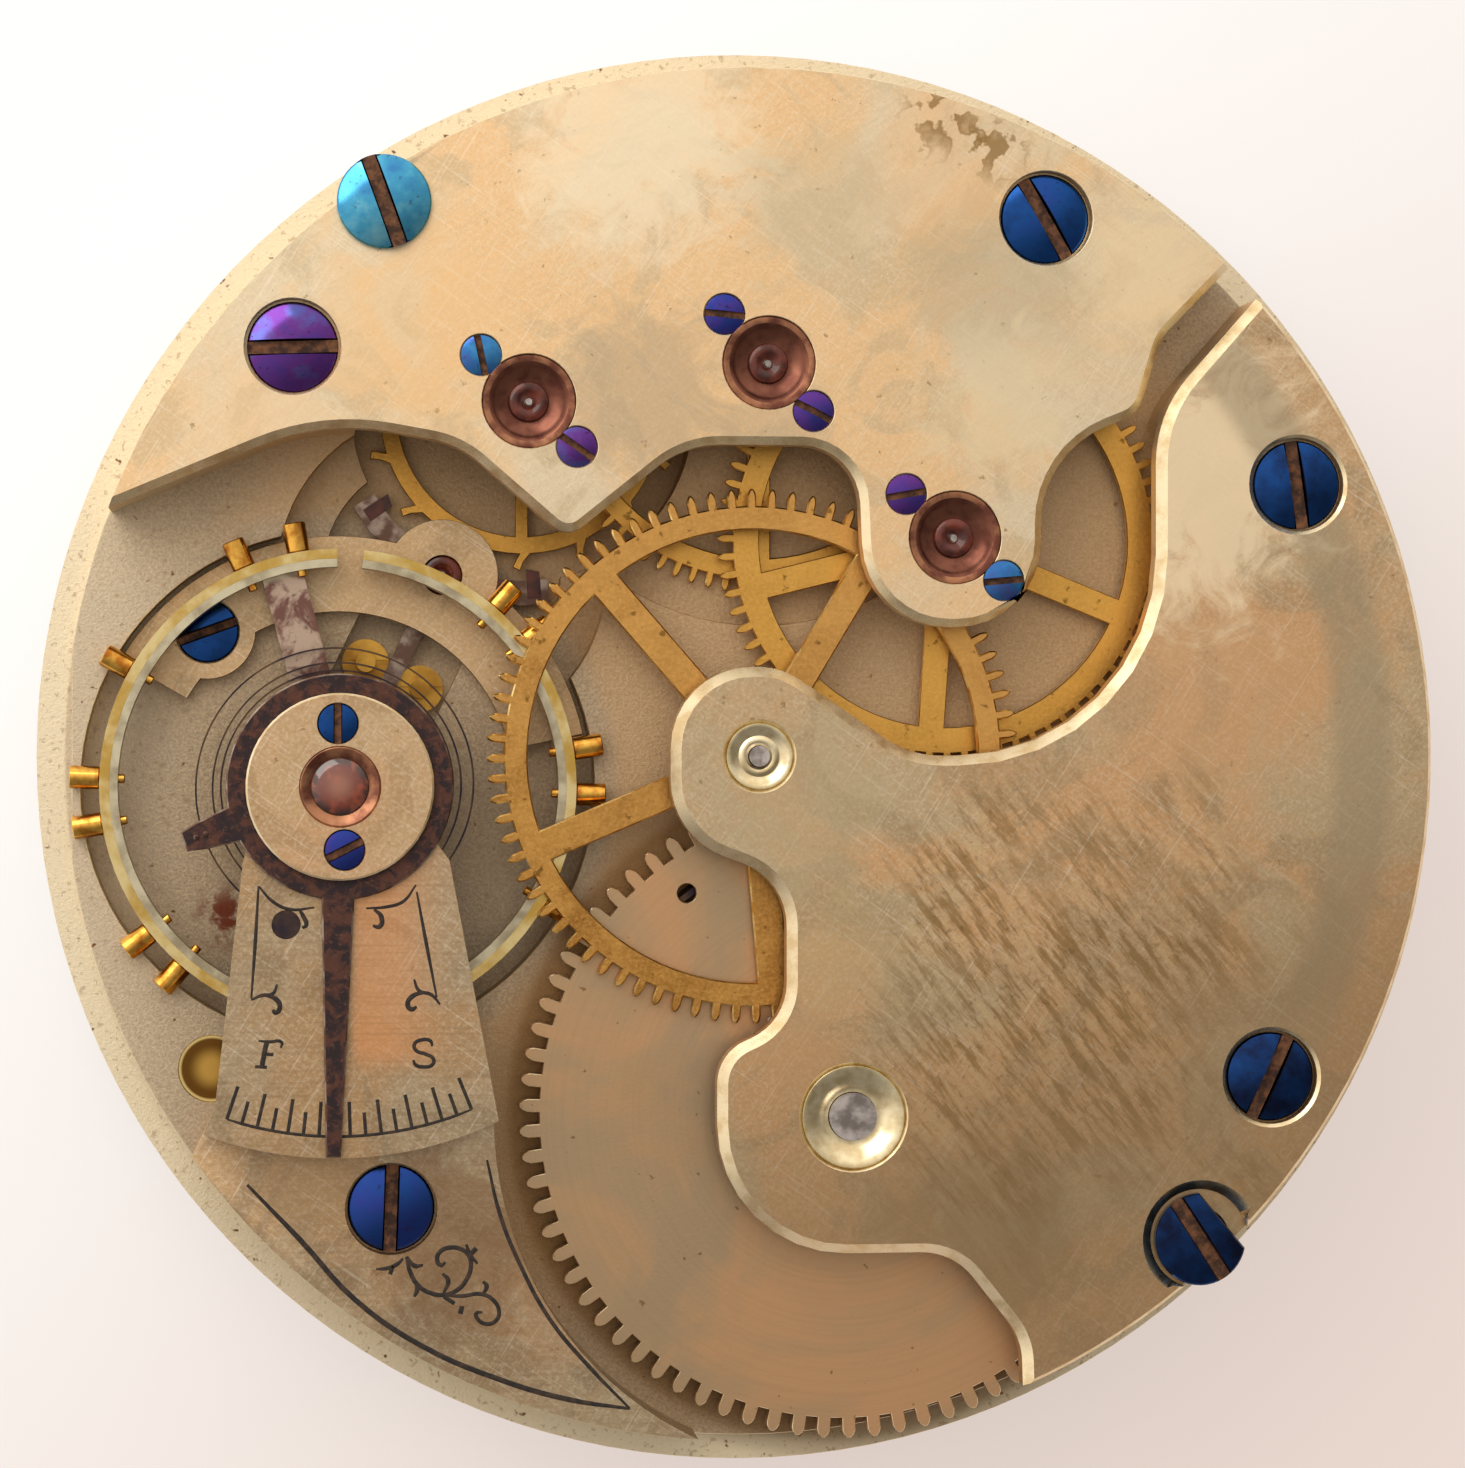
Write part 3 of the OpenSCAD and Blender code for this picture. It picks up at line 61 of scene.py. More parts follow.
class Signal:
    """A socket in one material's node tree. Sums and products on it add Math nodes."""

    def __init__(self, tree, socket=None):
        self.tree, self.socket = tree, socket

    def feed(self, socket, value):
        if isinstance(value, Signal):
            self.tree.links.new(value.socket, socket)
        elif hasattr(socket.default_value, "__len__") and len(socket.default_value) == 4:
            socket.default_value = (*value[:3], 1)
        else:
            socket.default_value = value

    def node(self, kind, settings=None, output=0, **inputs):
        made = self.tree.nodes.new("ShaderNode" + kind)
        for key, value in (settings or {}).items():
            if key == "stops":
                for stop, (place, colour) in zip(made.color_ramp.elements, value):
                    stop.position, stop.color = place, (*colour, 1)
                for place, colour in value[2:]:
                    made.color_ramp.elements.new(place).color = (*colour, 1)
            else:
                setattr(made, key, value)
        for key, value in inputs.items():
            place = int(key[1:]) if key[1:].isdigit() else key.replace("_", " ")
            self.feed(made.inputs[place], value)
        return Signal(self.tree, made.outputs[output])

    def math(self, operation, *values):
        inputs = {f"n{i}": value for i, value in enumerate(values)}
        return self.node("Math", {"operation": operation}, **inputs)

    def __add__(self, other): return self.math("ADD", self, other)
    def __radd__(self, other): return self.math("ADD", other, self)
    def __sub__(self, other): return self.math("SUBTRACT", self, other)
    def __rsub__(self, other): return self.math("SUBTRACT", other, self)
    def __mul__(self, other): return self.math("MULTIPLY", self, other)
    def __rmul__(self, other): return self.math("MULTIPLY", other, self)

    def step(self, low, high):
        """0 below low, 1 above high, and a smooth rise between; low may be the higher one."""
        return self.node("MapRange", {"interpolation_type": "SMOOTHSTEP"},
                         n0=self, n1=low, n2=high, n3=0.0, n4=1.0)

    def blend(self, first, second):
        """The colour first where this mask is 0, and second where it is 1."""
        return self.node("Mix", {"data_type": "RGBA"}, 2, n0=self, n6=first, n7=second)


def tint(code):
    """A colour as it is seen, such as e8bf8b, in the shader's linear values."""
    parts = [int(code[i:i + 2], 16) / 255 for i in (0, 2, 4)]
    return tuple(c / 12.92 if c <= 0.04045 else ((c + 0.055) / 1.055) ** 2.4 for c in parts)


class Finish(Signal):
    """A new material: its surface shader, and a place in millimetres to hang patterns on."""

    def __init__(self, name, **fixed):
        self.material = bpy.data.materials.new(name)
        self.material.use_nodes = True
        super().__init__(self.material.node_tree)
        self.surface = self.tree.nodes["Principled BSDF"]
        for key, value in fixed.items():
            self.set(key, value)
        at = self.node("TexCoord", output=3)
        self.place = self.node("VectorMath", {"operation": "SCALE"}, n0=at, Scale=1000.0)

    def set(self, socket, value):
        self.feed(self.surface.inputs[socket.replace("_", " ")], value)

    def moved(self, x=0.0, y=0.0, turn=0.0, stretch=(1, 1, 1)):
        """Places measured from x, y, turned by some degrees and stretched."""
        off = self.node("Mapping", n0=self.place, Location=(-x, -y, 0))
        turned_back = self.node("Mapping", n0=off, Rotation=(0, 0, radians(-turn)))
        return self.node("Mapping", n0=turned_back, Scale=stretch)

    def noise(self, scale, detail=3.0, rough=0.55, at=None, warp=0.0):
        return self.node("TexNoise", {"noise_dimensions": "3D"}, Vector=at or self.place, Scale=scale,
                         Detail=detail, Roughness=rough, Distortion=warp)

    def away(self, x, y):
        """Distance from the upright axis through x, y."""
        flat = self.node("VectorMath", {"operation": "MULTIPLY"}, n0=self.moved(x, y), n1=(1, 1, 0))
        return self.node("VectorMath", {"operation": "LENGTH"}, 1, n0=flat)

    def patch(self, x, y, reach, ragged):
        """1 within reach of x, y and 0 outside it, with an edge that the ragged noise moves."""
        return (self.away(x, y) + (ragged - 0.5) * (2.4 * reach)).step(reach * 1.2, reach * 0.4)

    def bump(self, height, depth):
        """Relief of that depth in millimetres."""
        self.set("Normal", self.node("Bump", Height=height, Distance=depth * MM, Strength=1.0))


# Light: a tall window on the balance's side of twelve o'clock and a dim room behind the camera,
# so polished edges that face the window flash, and those that face the room stay grey.
world = bpy.data.worlds.new("room")
world.use_nodes = True
bpy.context.scene.world = world
room = Signal(world.node_tree)
way = room.node("TexCoord")
x_way = room.node("SeparateXYZ", n0=way)
y_way = room.node("SeparateXYZ", output=1, n0=way)
z_way = room.node("SeparateXYZ", output=2, n0=way)
towards_window = y_way * 0.9 - x_way * 0.5
glow = towards_window.step(-0.55, 0.6) * 1.05 + 0.28
floor_side = z_way.step(0.02, -0.1)
glow = glow * (1 - floor_side) + floor_side * 0.75
seen = room.node("LightPath")
shell = world.node_tree.nodes["Background"]
room.feed(shell.inputs["Color"], seen.blend(tint("fff6ec"), (1, 1, 1)))
room.feed(shell.inputs["Strength"], glow * (1 - seen) + seen)

lamp_data = bpy.data.lights.new("window lamp", "AREA")
lamp_data.shape = "RECTANGLE"
lamp_data.size, lamp_data.size_y = 0.12, 0.12
lamp_data.energy = 0.11
lamp_data.color = (1, 0.97, 0.92)
lamp = bpy.data.objects.new("window lamp", lamp_data)
lamp.location = (-0.085, 0.1, 0.1)
lamp.rotation_euler = Vector((0.085, -0.1, -0.1)).to_track_quat("-Z", "Y").to_euler()
bpy.context.scene.collection.objects.link(lamp)

# Table: a sheet of white card under the movement, which rests on the cannon pinion's nose.
# The card's colour is painted warmer and darker away from the window, as painted shade, and the card keeps
# the movement's soft shadow.
card = bmesh.new()
bmesh.ops.create_grid(card, x_segments=1, y_segments=1, size=0.6)
card_mesh = bpy.data.meshes.new("card")
bmesh.ops.translate(card, verts=card.verts, vec=(0, 0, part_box("cannon_pinion")[0].z - 0.00002))
card.to_mesh(card_mesh)
card.free()
paper = Finish("white card", Roughness=0.9)
# painted shade: the card's colour warms and darkens away from the window, also in the glow it shows
away_from_window = paper.node("SeparateXYZ", n0=paper.moved(turn=-52)).step(-26, 36)
paper_tint_painted_shade = away_from_window.blend(tint("ffffff"), tint("f0e0d8"))
paper.set("Base_Color", paper_tint_painted_shade)
glowing = paper.node("Emission", Color=paper_tint_painted_shade, Strength=1.02)
ray = paper.node("LightPath")
gloss_ray = paper.node("LightPath", output=3)
through_ray = paper.node("LightPath", output=6)
shown = paper.node("MixShader", n0=(ray + gloss_ray + through_ray) * 0.62,
                   n1=Signal(paper.tree, paper.surface.outputs[0]), n2=glowing)
paper.feed(paper.tree.nodes["Material Output"].inputs["Surface"], shown)
card_mesh.materials.append(paper.material)
floor = bpy.data.objects.new("card", card_mesh)
bpy.context.scene.collection.objects.link(floor)


# the axes that most pieces stand on, in millimetres
CENTER, BARREL, BALANCE = (0, 0), (2.842, -10.833), (-12.508, -0.897)

# Pillar plate: the thick nickel plate that carries everything. It is turned, sunk for the barrel,
# balance and wheels, and frosted, with a bright line where each recess was turned.
def merged_copy(node):
    """A CAD node's own shape, with its loose triangles joined into whole faces."""
    shape = bmesh.new()
    shape.from_mesh(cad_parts[node].data)
    bmesh.ops.remove_doubles(shape, verts=shape.verts, dist=0.4e-6)
    bmesh.ops.dissolve_limit(shape, angle_limit=radians(0.3), verts=shape.verts, edges=shape.edges)
    return shape


def outer_corners(shape, wanted):
    """Edges where two faces meet at a clear outer corner, and where wanted agrees."""
    found = []
    for edge in shape.edges:
        if len(edge.link_faces) == 2 and edge.calc_face_angle_signed(0) > radians(35) and wanted(edge):
            found.append(edge)
    return found


def faces_up(edge):
    return max(face.normal.z for face in edge.link_faces) > 0.9


def middle(edge):
    return (edge.verts[0].co + edge.verts[1].co) / 2


def chamfer(shape, edges, width, slot, clamp=True):
    """Breaks those edges by width, in millimetres, in the finish of that slot."""
    made = bmesh.ops.bevel(shape, geom=edges, offset=width * MM, segments=1, profile=0.5,
                           affect="EDGES", clamp_overlap=clamp, material=-1)
    for face in made["faces"]:
        face.material_index = slot


def set_piece(shape, name, finishes, body, slot, *nodes):
    mesh = bpy.data.meshes.new(name)
    shape.normal_update()
    for face in shape.faces:
        face.smooth = abs(face.normal.z) < 0.99999
    shape.to_mesh(mesh)
    shape.free()
    if "custom_normal" in mesh.attributes:
        mesh.attributes.remove(mesh.attributes["custom_normal"])
    for finish in finishes:
        mesh.materials.append(finish.material)
    mesh.set_sharp_from_angle(angle=radians(32))
    piece = bpy.data.objects.new(name.replace(" ", "-"), mesh)
    bpy.context.scene.collection.objects.link(piece)
    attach(piece, body)
    if nodes:
        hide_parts(*nodes)
    return piece


frosted = Finish("frosted nickel", Metallic=0.85)
grain = frosted.noise(11, 2, 0.7)
cloud = frosted.noise(0.16, 4, 0.6, warp=0.8)
spots = frosted.noise(2.6, 2, 0.5).step(0.7, 0.76)
plain_tone = cloud.step(0.35, 0.65).blend(tint("cfbea2"), tint("e0c6a0"))
grain_and_painted_light = (grain.step(0.3, 0.75) * 0.75).blend(tint("a5927a"), plain_tone)
# painted light: the plate's colour is made lighter towards its left edge, on the window's side
across_plate = frosted.node("SeparateXYZ", n0=frosted.place)
grain_and_painted_light = (across_plate.step(-15.5, -20.5) * 0.35).blend(grain_and_painted_light, tint("f6e9cf"))
rim_shine = frosted.away(*CENTER).step(20.68, 20.8)
grain_and_painted_light = (rim_shine * 0.8).blend(grain_and_painted_light, tint("f3e6c8"))
train_side = frosted.node("SeparateXYZ", {}, 2, n0=frosted.place).step(0.05, 0.3)
rust_at = train_side * frosted.away(-15.9, -4.9).step(1.3, 0.3) * frosted.noise(1.6, 3).step(0.42, 0.56)
dirt = frosted.noise(5.5, 3, 0.6).step(0.58, 0.68) * 0.4
stained = spots.blend(dirt.blend(grain_and_painted_light, tint("86683f")), tint("7d5a38"))
rusted_plate = rust_at.blend(stained, tint("7a3f2c"))
oiled_floor = train_side * frosted.away(*BALANCE).step(7.9, 8.8) * frosted.away(*CENTER).step(18.5, 16)
rusted_plate = (oiled_floor * 0.32).blend(rusted_plate, tint("d9a868"))
# painted shade: the plate is darkened in the deep well round the barrel, where the barrel and its teeth
# shade it
barrel_well_painted_shade = frosted.away(*BARREL).step(11.1, 10.4) * 0.3 + frosted.away(*BARREL).step(10.5, 10.0) * 0.4
frosted.set("Base_Color", (train_side * barrel_well_painted_shade).blend(rusted_plate, tint("74501f")))
frosted.set("Roughness", 0.46 + grain * 0.2)
frosted.bump(grain, 0.012)
bright_edge = Finish("polished nickel edge", Metallic=1.0)
edge_wear = bright_edge.noise(1.4, 4)
bright_edge.set("Base_Color", edge_wear.step(0.3, 0.6).blend(tint("d8bf92"), tint("f3e3bf")))
bright_edge.set("Roughness", 0.16 + edge_wear * 0.2)

plate = merged_copy("pillar_plate")
chamfer(plate, outer_corners(plate, faces_up), 0.09, 1)
set_piece(plate, "pillar plate", [frosted, bright_edge], "frame", "nickel_plate", "pillar_plate")

# Bridges: flat nickel plates over the wheels, their feet screwed to the pillar plate. The tops are
# ground flat and polished, with a broad chamfer, and have aged in warm and grey clouds; a near-white
# cloud high on each bridge is a painted highlight, and the barrel bridge darkens towards its lower end in
# painted shade.
BRIDGE_TOP, BRIDGE_RIM = 5.75, 20.4
TRAIN_JEWELS = [(-6.907, 10.583), (0.291, 11.8), (5.935, 6.592)]


def aged_nickel(name, gold, pale, dull):
    """A polished nickel top: gold and pale clouds, dull tide marks, faint brushing, specks."""
    top = Finish(name, Metallic=0.92)
    cloud = top.noise(0.13, 5, 0.55, warp=1.2)
    tide = top.noise(0.24, 5, 0.55, at=top.moved(31, 7), warp=1.8)
    brushed = top.noise(1.3, 4, 0.7, at=top.moved(turn=32, stretch=(0.35, 6, 1)), warp=0.4)
    speck = top.noise(2.1, 4, 0.65).step(0.66, 0.71)
    fine = top.noise(9, 3, 0.7)
    base = cloud.step(0.4, 0.6).blend(tint(pale), tint(gold))
    base = (tide.step(0.5, 0.6) * 0.55).blend(base, tint(dull))
    base = (brushed.step(0.42, 0.72) * 0.26).blend(base, tint(dull))
    base = (fine.step(0.4, 0.75) * 0.3).blend(base, tint("fff2da"))
    base = (top.noise(21, 2, 0.8).step(0.4, 0.7) * 0.3).blend(base, tint(dull))
    for turn in (-35, 58):
        scratch = top.noise(2.2, 2, 0.5, at=top.moved(turn=turn, stretch=(0.16, 8, 1)))
        base = (scratch.step(0.63, 0.7) * 0.24).blend(base, tint("fff6e2"))
        base = (scratch.step(0.36, 0.31) * 0.16).blend(base, tint(dull))
    base = (speck * 0.6).blend(base, tint("8a6a3c"))
    top.set("Roughness", 0.3 + cloud * 0.2 + fine * 0.1)
    top.bump(brushed * 0.4 + fine * 0.6, 0.004)
    return top, base


def clouded(top, base, clouds):
    """Lays clouds on base, each given as x, y, reach, tint and strength: tarnish, and a painted highlight
    where one is said to be.
    """
    ragged = top.noise(0.55, 6, 0.66, warp=1.4)
    for x, y, reach, colour, strength in clouds:
        base = (top.patch(x, y, reach, ragged) * strength).blend(base, tint(colour))
    return base


def near_holes(holes):
    """A test whether an edge is at the lip of one of those holes, given as x, y and radius."""
    lip = 0.12

    def test(edge):
        p = middle(edge) / MM
        return any((p.x - x) ** 2 + (p.y - y) ** 2 < (r + lip) ** 2 for x, y, r in holes)
    return test


PLATE_SCREWS = [(8.719, 16.26), (-13.903, 12.129), (16.497, 8.261), (15.664, -9.75)]
JEWEL_SCREWS = [(-8.336, 11.939), (-5.478, 9.227), (-1.053, 13.241), (1.635, 10.359),
                (4.448, 7.884), (7.422, 5.299)]
bridge_holes = [(x, y, 1.44) for x, y in PLATE_SCREWS] + [(x, y, 1.42) for x, y in TRAIN_JEWELS]
bridge_holes += [(x, y, 0.66) for x, y in JEWEL_SCREWS] + [(0, 0, 1.02), (*BARREL, 1.57)]
at_hole = near_holes(bridge_holes)

train_top, train_base = aged_nickel("train bridge top", "f2cb98", "e9d8b8", "cdb893")
# the near-white cloud high in the middle, at -3.6, 19.0, is a painted highlight; the other clouds are
# tarnish
train_base = clouded(train_top, train_base, [
    (-3.6, 19.0, 4.2, "fbeccd", 0.6), (-10.7, 12.6, 3.4, "f2cc98", 0.45), (-14.6, 10.2, 2.6, "f3d0a2", 0.4),
    (-3.3, 10.9, 2.9, "b8a78c", 0.5), (0.3, 9.6, 2.2, "bcaa8e", 0.4), (7.2, 14.4, 3.1, "c4b698", 0.5),
    (7.4, 10.6, 2.5, "f0dfba", 0.6), (11.9, 14.6, 2.4, "fbe2b6", 0.6), (5.2, 17.7, 2.4, "f0c694", 0.4),
    (1.8, 16.6, 2.6, "d4c4a2", 0.4)])
blot = train_top.noise(1.2, 3, 0.5)
stained_rim = train_top.patch(5.6, 19.3, 1.6, blot) + train_top.patch(7.2, 18.3, 1.2, blot)
train_base = (stained_rim * blot.step(0.5, 0.54) * 0.8).blend(train_base, tint("96733f"))
train_top.set("Base_Color", train_base)
barrel_top, barrel_base = aged_nickel("barrel bridge top", "d9ab7a", "cbb48e", "ab9370")
# the large pale cloud at 12.9, 8.5, high on the bridge, is a painted highlight; the other clouds are
# tarnish
barrel_base = clouded(barrel_top, barrel_base, [
    (14.0, 2.0, 4.0, "d8ae82", 0.5), (1.2, -1.3, 3.0, "c5b591", 0.5), (2.1, -6.1, 2.4, "c9b48a", 0.45),
    (6.7, -14.5, 3.6, "9c8665", 0.6), (0.9, -8.8, 1.5, "d0a67a", 0.45), (12.9, 8.5, 4.6, "fbe8c4", 0.85)])
streak = barrel_top.noise(2.2, 4, 0.7, at=barrel_top.moved(turn=-52, stretch=(0.24, 1.5, 1)))
speckled = barrel_top.noise(4.5, 3, 0.6)
stained_at = barrel_top.patch(8.9, -7.6, 6.4, barrel_top.noise(0.2, 4, 0.6))
barrel_base = (stained_at * streak.step(0.46, 0.6) * 0.75).blend(barrel_base, tint("8a6b38"))
barrel_base = (stained_at * streak.step(0.46, 0.34) * 0.5).blend(barrel_base, tint("dcc796"))
barrel_base = (stained_at * speckled.step(0.58, 0.68) * 0.5).blend(barrel_base, tint("6f5228"))
out = barrel_top.away(*CENTER)
band = out.step(17.3, 18.0) * (1 - out.step(19.0, 19.8))
band = band * barrel_top.node("SeparateXYZ", output=1, n0=barrel_top.place).step(-11, -6)
barrel_base = (band * 0.6).blend(barrel_base, tint("ab9c80"))
# painted shade: the bridge's colour darkens towards its lower end
painted_shade_low_end = barrel_top.node("SeparateXYZ", output=1, n0=barrel_top.moved(turn=20)).step(-5, -15)
barrel_base = (painted_shade_low_end * 0.6).blend(barrel_base, tint("977e5c"))
barrel_top.set("Base_Color", barrel_base)

for node, name, top, width in (("train_bridge", "train bridge", train_top, 0.24),
                               ("barrel_bridge", "barrel bridge", barrel_top, 0.3)):
    bridge = merged_copy(node)
    outline = outer_corners(bridge, lambda e: faces_up(e) and not at_hole(e)
                            and middle(e).xy.length < BRIDGE_RIM * MM)
    chamfer(bridge, outline, width, 1, clamp=False)
    chamfer(bridge, outer_corners(bridge, lambda e: faces_up(e) and middle(e).z > (BRIDGE_TOP - 0.05) * MM
                                  and (at_hole(e) or middle(e).xy.length > BRIDGE_RIM * MM)), 0.1, 1)
    set_piece(bridge, name, [top, bright_edge], "frame", "nickel_plate", node)

# Balance cock: the fan-shaped table over the balance, in one with a foot low on the plate's rim.
# The table is cross-brushed, and one half has turned copper; the marks are cut and blacked.
cock_top, cock_base = aged_nickel("balance cock top", "bd9a70", "b9a484", "8f7a5e")
across = cock_top.noise(1.0, 3, 0.6, at=cock_top.moved(stretch=(0.35, 11, 1)))
coppered = (cock_top.node("SeparateXYZ", n0=cock_top.place).step(-12.35, -11.9)
            * cock_top.node("SeparateXYZ", output=1, n0=cock_top.place).step(-9.6, -8.6)
            * cock_top.node("SeparateXYZ", n0=cock_top.place).step(-8.8, -11.2))
cock_base = (coppered * (0.3 + across * 0.55)).blend(cock_base, tint("e6a068"))
cock_base = (across.step(0.45, 0.7) * 0.3).blend(cock_base, tint("937a5c"))
cock_base = clouded(cock_top, cock_base, [
    (-6.3, -16.0, 2.4, "c09468", 0.4), (-13.4, -12.6, 1.8, "a88c68", 0.4),
    (-9.2, -14.6, 3.0, "8c6a4a", 0.6)])
cock_top.set("Base_Color", cock_base)
cock = merged_copy("balance_cock")
chamfer(cock, outer_corners(cock, faces_up), 0.09, 1)
set_piece(cock, "balance cock", [cock_top, bright_edge], "frame", "nickel_plate", "balance_cock")

blacked = Finish("blacked engraving", Roughness=0.7)
blacked.set("Base_Color", blacked.noise(4, 2).step(0.4, 0.7).blend(tint("191310"), tint("3a2a1e")))


def cut_lines(name, lines, level):
    """Cut strokes as thin inlays: each line is a width and points, all in millimetres."""
    drawn = bpy.data.curves.new(name, "CURVE")
    drawn.dimensions = "3D"
    drawn.bevel_depth = 0.5 * MM
    drawn.bevel_resolution = 1
    drawn.use_fill_caps = True
    for width, points in lines:
        spline = drawn.splines.new("BEZIER")
        spline.resolution_u = 5
        spline.bezier_points.add(len(points) - 1)
        for i, (point, (x, y)) in enumerate(zip(spline.bezier_points, points)):
            point.co = (x * MM, y * MM, 0)
            point.handle_left_type = point.handle_right_type = "AUTO"
            inner = 0 < i < len(points) - 1
            point.radius = 1.25 * width * (1 if inner or len(points) == 2 else 0.55)
    holder = bpy.data.objects.new(name + " drawn", drawn)
    bpy.context.scene.collection.objects.link(holder)
    bpy.context.view_layer.update()
    mesh = bpy.data.meshes.new_from_object(holder.evaluated_get(bpy.context.evaluated_depsgraph_get()))
    bpy.data.objects.remove(holder)
    shape = bmesh.new()
    shape.from_mesh(mesh)
    bpy.data.meshes.remove(mesh)
    bmesh.ops.remove_doubles(shape, verts=shape.verts, dist=0.2e-6)
    bmesh.ops.scale(shape, vec=(1, 1, 0.16), verts=shape.verts)
    bmesh.ops.translate(shape, vec=(0, 0, level * MM), verts=shape.verts)
    bmesh.ops.recalc_face_normals(shape, faces=shape.faces)
    for face in shape.faces:
        face.material_index = 0
    return set_piece(shape, name, [blacked], "frame", "dark_steel")


def polar(centre, radius, angle):
    return (centre[0] + radius * cos(radians(angle)), centre[1] + radius * sin(radians(angle)))


SCALE_START, SCALE_END, SCALE_STEPS, SCALE_R = -108.7, -67.9, 16, 10.35
LONG_TICK, SHORT_TICK = 1.02, 0.68
scale_ways = [SCALE_START + (SCALE_END - SCALE_START) * i / SCALE_STEPS for i in range(SCALE_STEPS + 1)]
table_lines = [(0.075, [polar(BALANCE, SCALE_R, way) for way in scale_ways])]
for i, way in enumerate(scale_ways):
    tick_end = SCALE_R - (SHORT_TICK if i % 2 else LONG_TICK)
    table_lines.append((0.085, [polar(BALANCE, SCALE_R, way), polar(BALANCE, tick_end, way)]))
table_lines += [
    (0.09, [(-14.9, -3.83), (-14.99, -5.43), (-15.11, -7.15)]),
    (0.08, [(-14.9, -3.83), (-14.48, -4.29), (-13.99, -4.52), (-13.26, -4.47)]),
    (0.11, [(-13.71, -4.52), (-13.58, -4.74), (-13.5, -4.99), (-13.62, -5.07)]),
    (0.09, [(-15.11, -7.19), (-14.81, -7.06), (-14.48, -7.01), (-14.35, -6.73)]),
    (0.12, [(-14.68, -7.06), (-14.4, -7.16), (-14.27, -7.4), (-14.4, -7.57), (-14.48, -7.48)]),
    (0.09, [(-10.24, -4.02), (-9.96, -5.54), (-9.65, -7.15)]),
    (0.08, [(-11.74, -4.5), (-11.13, -4.46), (-10.64, -4.3), (-10.26, -3.81)]),
    (0.12, [(-11.5, -4.53), (-11.29, -4.75), (-11.33, -5.04), (-11.54, -5.02)]),
    (0.09, [(-9.55, -7.36), (-9.81, -7.07), (-10.18, -6.94), (-10.32, -6.61)]),
    (0.12, [(-10.02, -7.01), (-10.35, -7.1), (-10.51, -7.35), (-10.39, -7.5), (-10.24, -7.42)]),
]
# the letters for fast and slow
table_lines += [
    (0.12, [(-14.66, -8.43), (-14.8, -9.16)]),
    (0.08, [(-14.9, -8.4), (-14.56, -8.43), (-14.22, -8.45), (-14.25, -8.62)]),
    (0.08, [(-14.72, -8.79), (-14.46, -8.81)]),
    (0.08, [(-15.0, -9.16), (-14.65, -9.18)]),
    (0.09, [(-9.78, -8.6), (-9.83, -8.45), (-10.1, -8.41), (-10.31, -8.54), (-10.26, -8.72),
            (-9.98, -8.83), (-9.75, -8.97), (-9.77, -9.14), (-10.02, -9.21), (-10.28, -9.14),
            (-10.34, -9.0)]),
]
cut_lines("table engraving", table_lines, BRIDGE_TOP)

foot_lines = [
    (0.13, [(-15.24, -12.73), (-13.68, -14.38), (-12.05, -16.19), (-10.12, -17.57), (-7.73, -18.65),
            (-5.63, -19.29), (-3.83, -19.59)]),
    (0.1, [(-8.12, -12.07), (-7.73, -13.72), (-7.13, -15.22), (-6.23, -16.88), (-5.03, -18.34),
           (-3.83, -19.59)]),
    (0.11, [(-10.53, -14.93), (-10.41, -15.39), (-10.16, -15.81), (-9.77, -16.04), (-9.41, -16.09),
            (-9.04, -15.97), (-8.76, -15.69), (-8.6, -15.24), (-8.67, -14.91), (-8.9, -14.73),
            (-9.22, -14.68), (-9.52, -14.8), (-9.61, -15.03), (-9.49, -15.2), (-9.36, -15.11)]),
    (0.1, [(-9.41, -16.1), (-8.86, -16.13), (-8.3, -16.08), (-7.94, -16.26), (-7.76, -16.6),
           (-7.84, -16.87), (-8.12, -16.98), (-8.4, -16.82), (-8.44, -16.66), (-8.26, -16.62)]),
    (0.1, [(-10.62, -14.98), (-10.78, -15.14), (-11.1, -15.27), (-11.42, -15.29)]),
    (0.1, [(-10.92, -15.2), (-11.01, -15.45)]),
    (0.12, [(-10.51, -14.93), (-10.28, -15.21), (-10.03, -15.19)]),
    (0.12, [(-10.23, -15.76), (-10.21, -15.95), (-10.29, -16.13)]),
    (0.12, [(-9.45, -15.45), (-9.28, -15.65), (-9.41, -16.03)]),
    (0.11, [(-8.74, -14.59), (-8.63, -14.89), (-8.4, -15.17)]),
    (0.12, [(-8.44, -14.71), (-8.63, -14.91)]),
    (0.12, [(-8.24, -15.7), (-8.13, -15.85), (-8.24, -16.08)]),
    (0.1, [(-9.41, -16.14), (-9.09, -16.35)]),
    (0.12, [(-8.86, -16.43), (-8.92, -16.66)]),
]
FOOT_TOP = 4.95
cut_lines("foot engraving", foot_lines, FOOT_TOP)

# Pallet bridge: a low nickel band across the balance's recess, over the lever. It is brushed
# along its length and its edges are broken bright.
band_top, band_base = aged_nickel("pallet bridge top", "d2b084", "c9b28c", "a48a66")
band_top.set("Base_Color", band_base)
band = merged_copy("pallet_bridge")
chamfer(band, outer_corners(band, faces_up), 0.09, 1)
set_piece(band, "pallet bridge", [band_top, bright_edge], "frame", "nickel_plate", "pallet_bridge")

